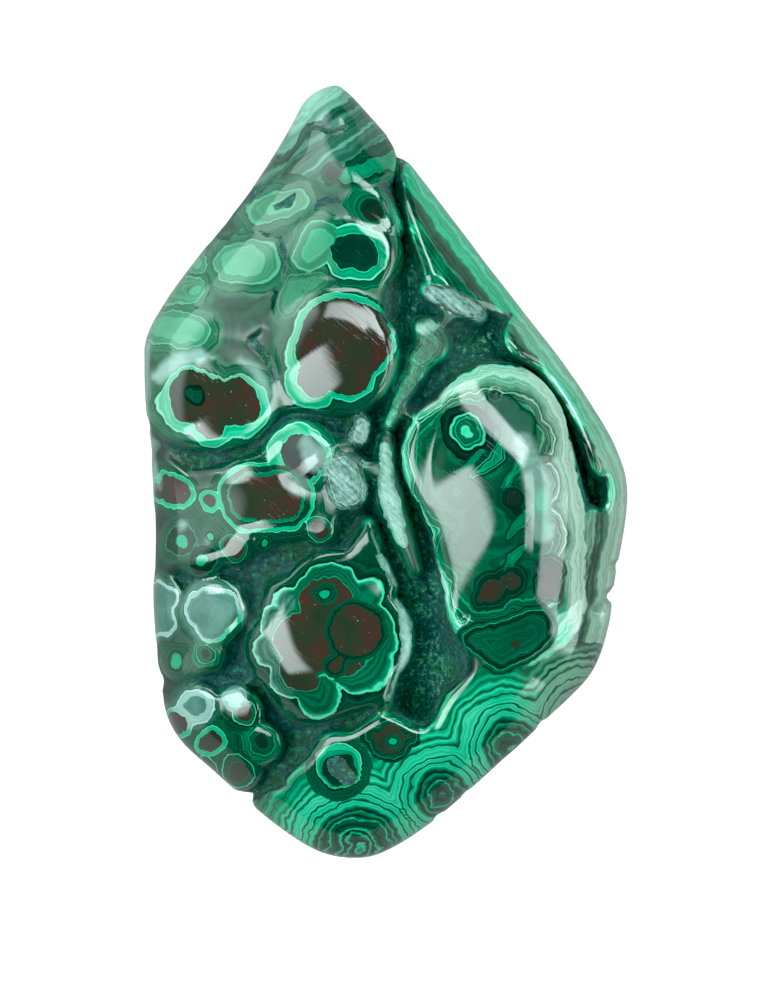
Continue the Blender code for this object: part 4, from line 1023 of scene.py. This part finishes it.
def polished_stone():
    material = bpy.data.materials.new("polished_malachite_rings")
    material.use_nodes = True
    tree = material.node_tree
    surface = tree.nodes["Principled BSDF"]
    place = add(tree, "TexCoord").outputs["Object"]
    cloud = noise_of(tree, {"Vector": place, "Scale": 260.0, "Detail": 4.0, "Roughness": 0.6})
    crystal = noise_of(tree, {"Vector": place, "Scale": 1900.0, "Detail": 4.0, "Roughness": 0.7})

    jitter = noise_of(tree, {"Vector": place, "Scale": 1100.0, "Detail": 3.0})
    jitter = calc(tree, "MULTIPLY", calc(tree, "SUBTRACT", jitter, 0.5), 0.24)
    outer_light, brown, dull, growth = eye_light(tree, "outer", jitter)
    between = calc(tree, "SUBTRACT", growth, 3.0)
    fine = use_group(tree, LAYERS_GROUP, {"Distance": between, "Period": 0.9})[0]
    north = add(tree, "SeparateXYZ", {0: place}).outputs["Y"]
    plain = blend(tree, ease(tree, north, 0.004, 0.013), 0.30, 0.40)
    plain = calc(tree, "SUBTRACT", plain, calc(tree, "MULTIPLY", ease(tree, between, 0.5, 1.4), 0.12))
    light = calc(tree, "MULTIPLY_ADD", calc(tree, "SUBTRACT", fine, 0.5), 0.14, plain)
    flank = layer_light(tree, "outline_distance", 0.0, FLANK_REACH, FLANK_LAYERS, 0.5, 0.24)
    mottled = calc(tree, "MULTIPLY", ease(tree, stored(tree, "outline_distance"), 2.0, 3.2), 0.7)
    flank = calc(tree, "MULTIPLY_ADD", calc(tree, "SUBTRACT", cloud, 0.5), mottled, flank)
    light = blend(tree, ease(tree, stored(tree, "flank_inside"), 0.0, 0.1), light, flank)
    cap = layer_light(tree, "cap_across", CAP_START, CAP_REACH, CAP_LAYERS, 0.6, 0.16)
    light = blend(tree, ease(tree, stored(tree, "cap_inside"), 0.0, 0.1), light, cap)
    block = layer_light(tree, "lobe_depth", BLOCK_START, BLOCK_REACH, BLOCK_LAYERS, 0.33, 0.16)
    lobe = stored(tree, "lobe_depth")
    inner = ease(tree, lobe, 4.0, 4.8)
    uneven_lobe = calc(tree, "MULTIPLY_ADD", calc(tree, "SUBTRACT", cloud, 0.5), blend(tree, inner, 0.5, 3.0), lobe)
    dark = use_group(tree, LAYERS_GROUP, {"Distance": uneven_lobe, "Period": 0.85, "Thinness": 5.0, "Seed": 4.0})[1]
    banded = blend(tree, inner, blend(tree, ease(tree, lobe, -0.4, 0.3), 0.12, 0.40), 0.2)
    block = calc(tree, "SUBTRACT", block, calc(tree, "MULTIPLY", dark, banded))
    mint = use_group(tree, LAYERS_GROUP, {"Distance": uneven_lobe, "Period": 0.9, "Thinness": 5.0})[1]
    mint = calc(tree, "MULTIPLY", mint, inner)
    block = calc(tree, "MULTIPLY_ADD", mint, 0.36, block)
    block = calc(tree, "MULTIPLY_ADD", stored(tree, "pale_skin_and_veil"), -0.24, block)
    light = blend(tree, ease(tree, stored(tree, "block_inside"), 0.0, 0.1), light, block)
    in_eye = ease(tree, growth, 3.03, 2.97)
    light = blend(tree, in_eye, light, outer_light)
    brown = calc(tree, "MULTIPLY", brown, in_eye)
    dull = calc(tree, "MULTIPLY", dull, in_eye)
    inner_light, inner_brown, inner_dull, inner_growth = eye_light(tree, "inner", jitter)
    in_inner = ease(tree, inner_growth, 3.02, 2.98)
    light = blend(tree, in_inner, light, inner_light)
    brown = blend(tree, in_inner, brown, inner_brown)

    strokes = {"Vector": place, "Rotation": (0.0, 0.0, SCRATCH_TURN), "Scale": (20.0, 1.0, 3.0)}
    strokes = add(tree, "Mapping", strokes, vector_type="TEXTURE")
    fibres = noise_of(
        tree, {"Vector": strokes.outputs[0], "Scale": 3600.0, "Detail": 4.0, "Roughness": 0.7},
    )
    raised = stored(tree, "nodule_inside")
    depth = stored(tree, "cleft_depth")
    # Painted highlight: nodule edges beside deep clefts are made paler, standing in for rims that catch the lamps.
    rim_highlight = calc(tree, "MULTIPLY", ease(tree, raised, 0.9, 0.1), ease(tree, depth, 1.2, 3.0))
    rim_highlight = calc(tree, "MULTIPLY", rim_highlight, ease(tree, cloud, 0.38, 0.60))
    light = calc(tree, "MULTIPLY_ADD", rim_highlight, 0.24, light)
    dull = blend(tree, in_inner, dull, inner_dull)
    rubble = calc(tree, "MULTIPLY", calc(tree, "SUBTRACT", blend(tree, 0.4, fibres, crystal), 0.5), dull)
    light = calc(tree, "MULTIPLY_ADD", rubble, 1.7, light)
    light = calc(tree, "MULTIPLY_ADD", calc(tree, "SUBTRACT", cloud, 0.5), 0.18, light)
    green = use_group(tree, GREENS_GROUP, {"Lightness": light})[0]
    patch = noise_of(tree, {"Vector": place, "Scale": 330.0, "Detail": 3.0, "Roughness": 0.55})
    grit = noise_of(tree, {"Vector": place, "Scale": 2600.0, "Detail": 1.0})
    # Painted shade: clusters of tiny dark specks stand in for small shaded pits.
    pit_shade = calc(tree, "MULTIPLY", ease(tree, grit, 0.69, 0.74), ease(tree, patch, 0.52, 0.60))
    light = calc(tree, "MULTIPLY_ADD", pit_shade, -0.35, light)
    lit = ease(tree, light, 0.2, 0.6)
    # Greyish outer layers, with the painted veil of reflection in the upper left
    skin = calc(tree, "MULTIPLY", stored(tree, "pale_skin_and_veil"), lit)
    green = blend_colors(tree, skin, green, ramp(tree, light, PALE_SKIN))
    skin = calc(tree, "MULTIPLY", stored(tree, "cool_skin"), lit)
    green = blend_colors(tree, skin, green, ramp(tree, light, COOL_SKIN))
    color = blend_colors(tree, calc(tree, "MULTIPLY", brown, 0.92), green, ramp(tree, patch, BROWNS))

    ground = calc(tree, "MULTIPLY", ease(tree, raised, 0.0, -0.3), ease(tree, depth, 0.4, 1.2))
    seam = calc(tree, "ADD", stored(tree, "seam_inside"), calc(tree, "MULTIPLY", jitter, 1.8))
    ground = calc(tree, "MAXIMUM", ground, ease(tree, seam, -0.06, 0.08))
    # The crystals' own colour, made lighter the deeper the cleft: painted fill light for the deep, shaded clefts.
    druse_and_fill = calc(tree, "MULTIPLY_ADD", ease(tree, depth, 2.5, 5.5), 0.12, crystal)
    druse_and_fill_color = blend_colors(tree, ease(tree, patch, 0.46, 0.60), ramp(tree, druse_and_fill, TEALS), ramp(tree, druse_and_fill, MOSSES))
    color = blend_colors(tree, ground, color, druse_and_fill_color)
    # Painted highlights: pale streaks laid into the colour where the polished tops would mirror the lamps
    color = blend_colors(tree, stored(tree, "painted_highlight"), color, HIGHLIGHT_COLOR)
    # Painted glints: sparse pale specks on the clefts' crystals and the brown cores stand in for sparkle.
    glint_places = calc(tree, "MAXIMUM", calc(tree, "MULTIPLY", ground, 0.9), calc(tree, "MULTIPLY", brown, 0.4))
    painted_glints = calc(tree, "MULTIPLY", ease(tree, grit, 0.73, 0.80), glint_places)
    color = blend_colors(tree, painted_glints, color, srgb(170, 215, 195))
    tree.links.new(color, surface.inputs["Base Color"])

    matte = calc(tree, "MAXIMUM", calc(tree, "MULTIPLY", ground, 0.7), calc(tree, "MULTIPLY", dull, 0.35))
    layered = calc(tree, "MAXIMUM", stored(tree, "flank_inside"), stored(tree, "block_inside"))
    layered = calc(tree, "MAXIMUM", layered, stored(tree, "cap_inside"))
    filling = calc(tree, "MULTIPLY", ease(tree, between, 0.0, 0.3), ease(tree, layered, 0.1, 0.0))
    matte = calc(tree, "MAXIMUM", matte, calc(tree, "MULTIPLY", filling, 0.36))
    tree.links.new(calc(tree, "ADD", matte, 0.05), surface.inputs["Roughness"])
    surface.inputs["IOR"].default_value = 1.88
    uneven = calc(tree, "MAXIMUM", ground, calc(tree, "MULTIPLY", dull, 0.7))
    height = calc(tree, "MULTIPLY", calc(tree, "SUBTRACT", crystal, 0.5), uneven)
    brushed = noise_of(tree, {"Vector": strokes.outputs[0], "Scale": 5200.0, "Detail": 2.0})
    brushed = calc(tree, "MULTIPLY", ease(tree, brushed, 0.56, 0.66), ease(tree, patch, 0.40, 0.55))
    height = calc(tree, "MULTIPLY_ADD", brushed, SCRATCH, height)
    bump = add(tree, "Bump", {"Strength": 1.0, "Distance": 0.6 * MM, "Height": height})
    tree.links.new(bump.outputs[0], surface.inputs["Normal"])
    return material


stone.data.materials.append(polished_stone())
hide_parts("malachite")
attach(stone, "root")
print("material:", stone.data.materials[0].name)

# %% [markdown]
# ## Paper and light
# White paper under the stone throws light back up at its edges, and it glows a little, as on
# a light table, so the shadow stays faint. A polished stone shows its lamps as mirror images,
# so the lamps are large soft boxes, and their places decide where the pale patches lie: a
# large one to the upper left, a bright one high on the left, and weaker ones above and to
# the right.


# %% The paper
PAPER_GLOW = 0.90
PAPER_BOUNCE = 0.13


def lay_paper():
    mesh = bpy.data.meshes.new("paper")
    work = bmesh.new()
    bmesh.ops.create_grid(work, x_segments=1, y_segments=1, size=2.0)
    work.to_mesh(mesh)
    work.free()
    paper = bpy.data.objects.new("paper", mesh)
    paper.location.z = -0.00005
    bpy.context.scene.collection.objects.link(paper)
    material = bpy.data.materials.new("white_paper")
    material.use_nodes = True
    tree = material.node_tree
    surface = tree.nodes["Principled BSDF"]
    surface.inputs["Base Color"].default_value = (0.24, 0.24, 0.24, 1.0)
    surface.inputs["Roughness"].default_value = 0.9
    surface.inputs["Emission Color"].default_value = (1.0, 1.0, 1.0, 1.0)
    seen = add(tree, "LightPath").outputs["Is Camera Ray"]
    tree.links.new(blend(tree, seen, PAPER_BOUNCE, PAPER_GLOW), surface.inputs["Emission Strength"])
    mesh.materials.append(material)
    return paper


lay_paper()


# %% The soft boxes
LAMP_COLOR = (0.88, 1.0, 1.0)
SOFT_EDGE = 0.13


def soft_box(name, azimuth, lean, width, height, radiance, roll=0.0, soft_ends=SOFT_EDGE, falloff=0.35):
    """A lamp that leans away from straight above, towards an azimuth counted from the right."""
    distance = 1.1
    data = bpy.data.lights.new(name, "AREA")
    data.shape = "RECTANGLE"
    data.size, data.size_y = width, height
    data.energy = radiance * math.pi * width * height
    data.color = LAMP_COLOR
    data.use_nodes = True
    tree = data.node_tree
    across, up, _ = add(tree, "SeparateXYZ", {0: add(tree, "NewGeometry").outputs["Parametric"]}).outputs
    sides = [ease(tree, calc(tree, "PINGPONG", side, 0.5), 0.0, soft)
             for side, soft in ((across, SOFT_EDGE), (up, soft_ends))]
    slant = calc(tree, "MULTIPLY_ADD", across, -falloff, 1.0 + 0.5 * falloff)
    strength = calc(tree, "MULTIPLY", calc(tree, "MULTIPLY", *sides), slant)
    tree.links.new(strength, tree.nodes["Emission"].inputs["Strength"])
    lamp = bpy.data.objects.new(name, data)
    turn, tilt = math.radians(azimuth), math.radians(lean)
    toward = Vector((math.sin(tilt) * math.cos(turn), math.sin(tilt) * math.sin(turn), math.cos(tilt)))
    lamp.location = toward * distance
    facing = toward.to_track_quat("Z", "Y") @ Quaternion((0.0, 0.0, 1.0), math.radians(roll))
    lamp.rotation_euler = facing.to_euler()
    bpy.context.scene.collection.objects.link(lamp)
    return lamp


soft_box("wash_left", 168, 80, 3.2, 1.9, 1.25, 0, 0.30, 1.9)
soft_box("bright_box_left", 203, 26.4, 0.95, 1.41, 4.7, 8, 0.26)
soft_box("box_upper_right", 68, 54, 1.55, 0.42, 5.2, 0, 0.2, 0.8)
soft_box("strip_right", 0, 55, 0.80, 0.22, 3.0)
soft_box("wash_right", -5, 84, 1.4, 0.7, 2.8)
world = bpy.data.worlds.new("studio")
world.use_nodes = True
world.node_tree.nodes["Background"].inputs["Color"].default_value = (*LAMP_COLOR, 1.0)
world.node_tree.nodes["Background"].inputs["Strength"].default_value = 0.12
bpy.context.scene.world = world
view = bpy.context.scene.view_settings
view.view_transform = "Standard"
view.use_curve_mapping = True
view.curve_mapping.black_level = (0.014, 0.009, 0.009)
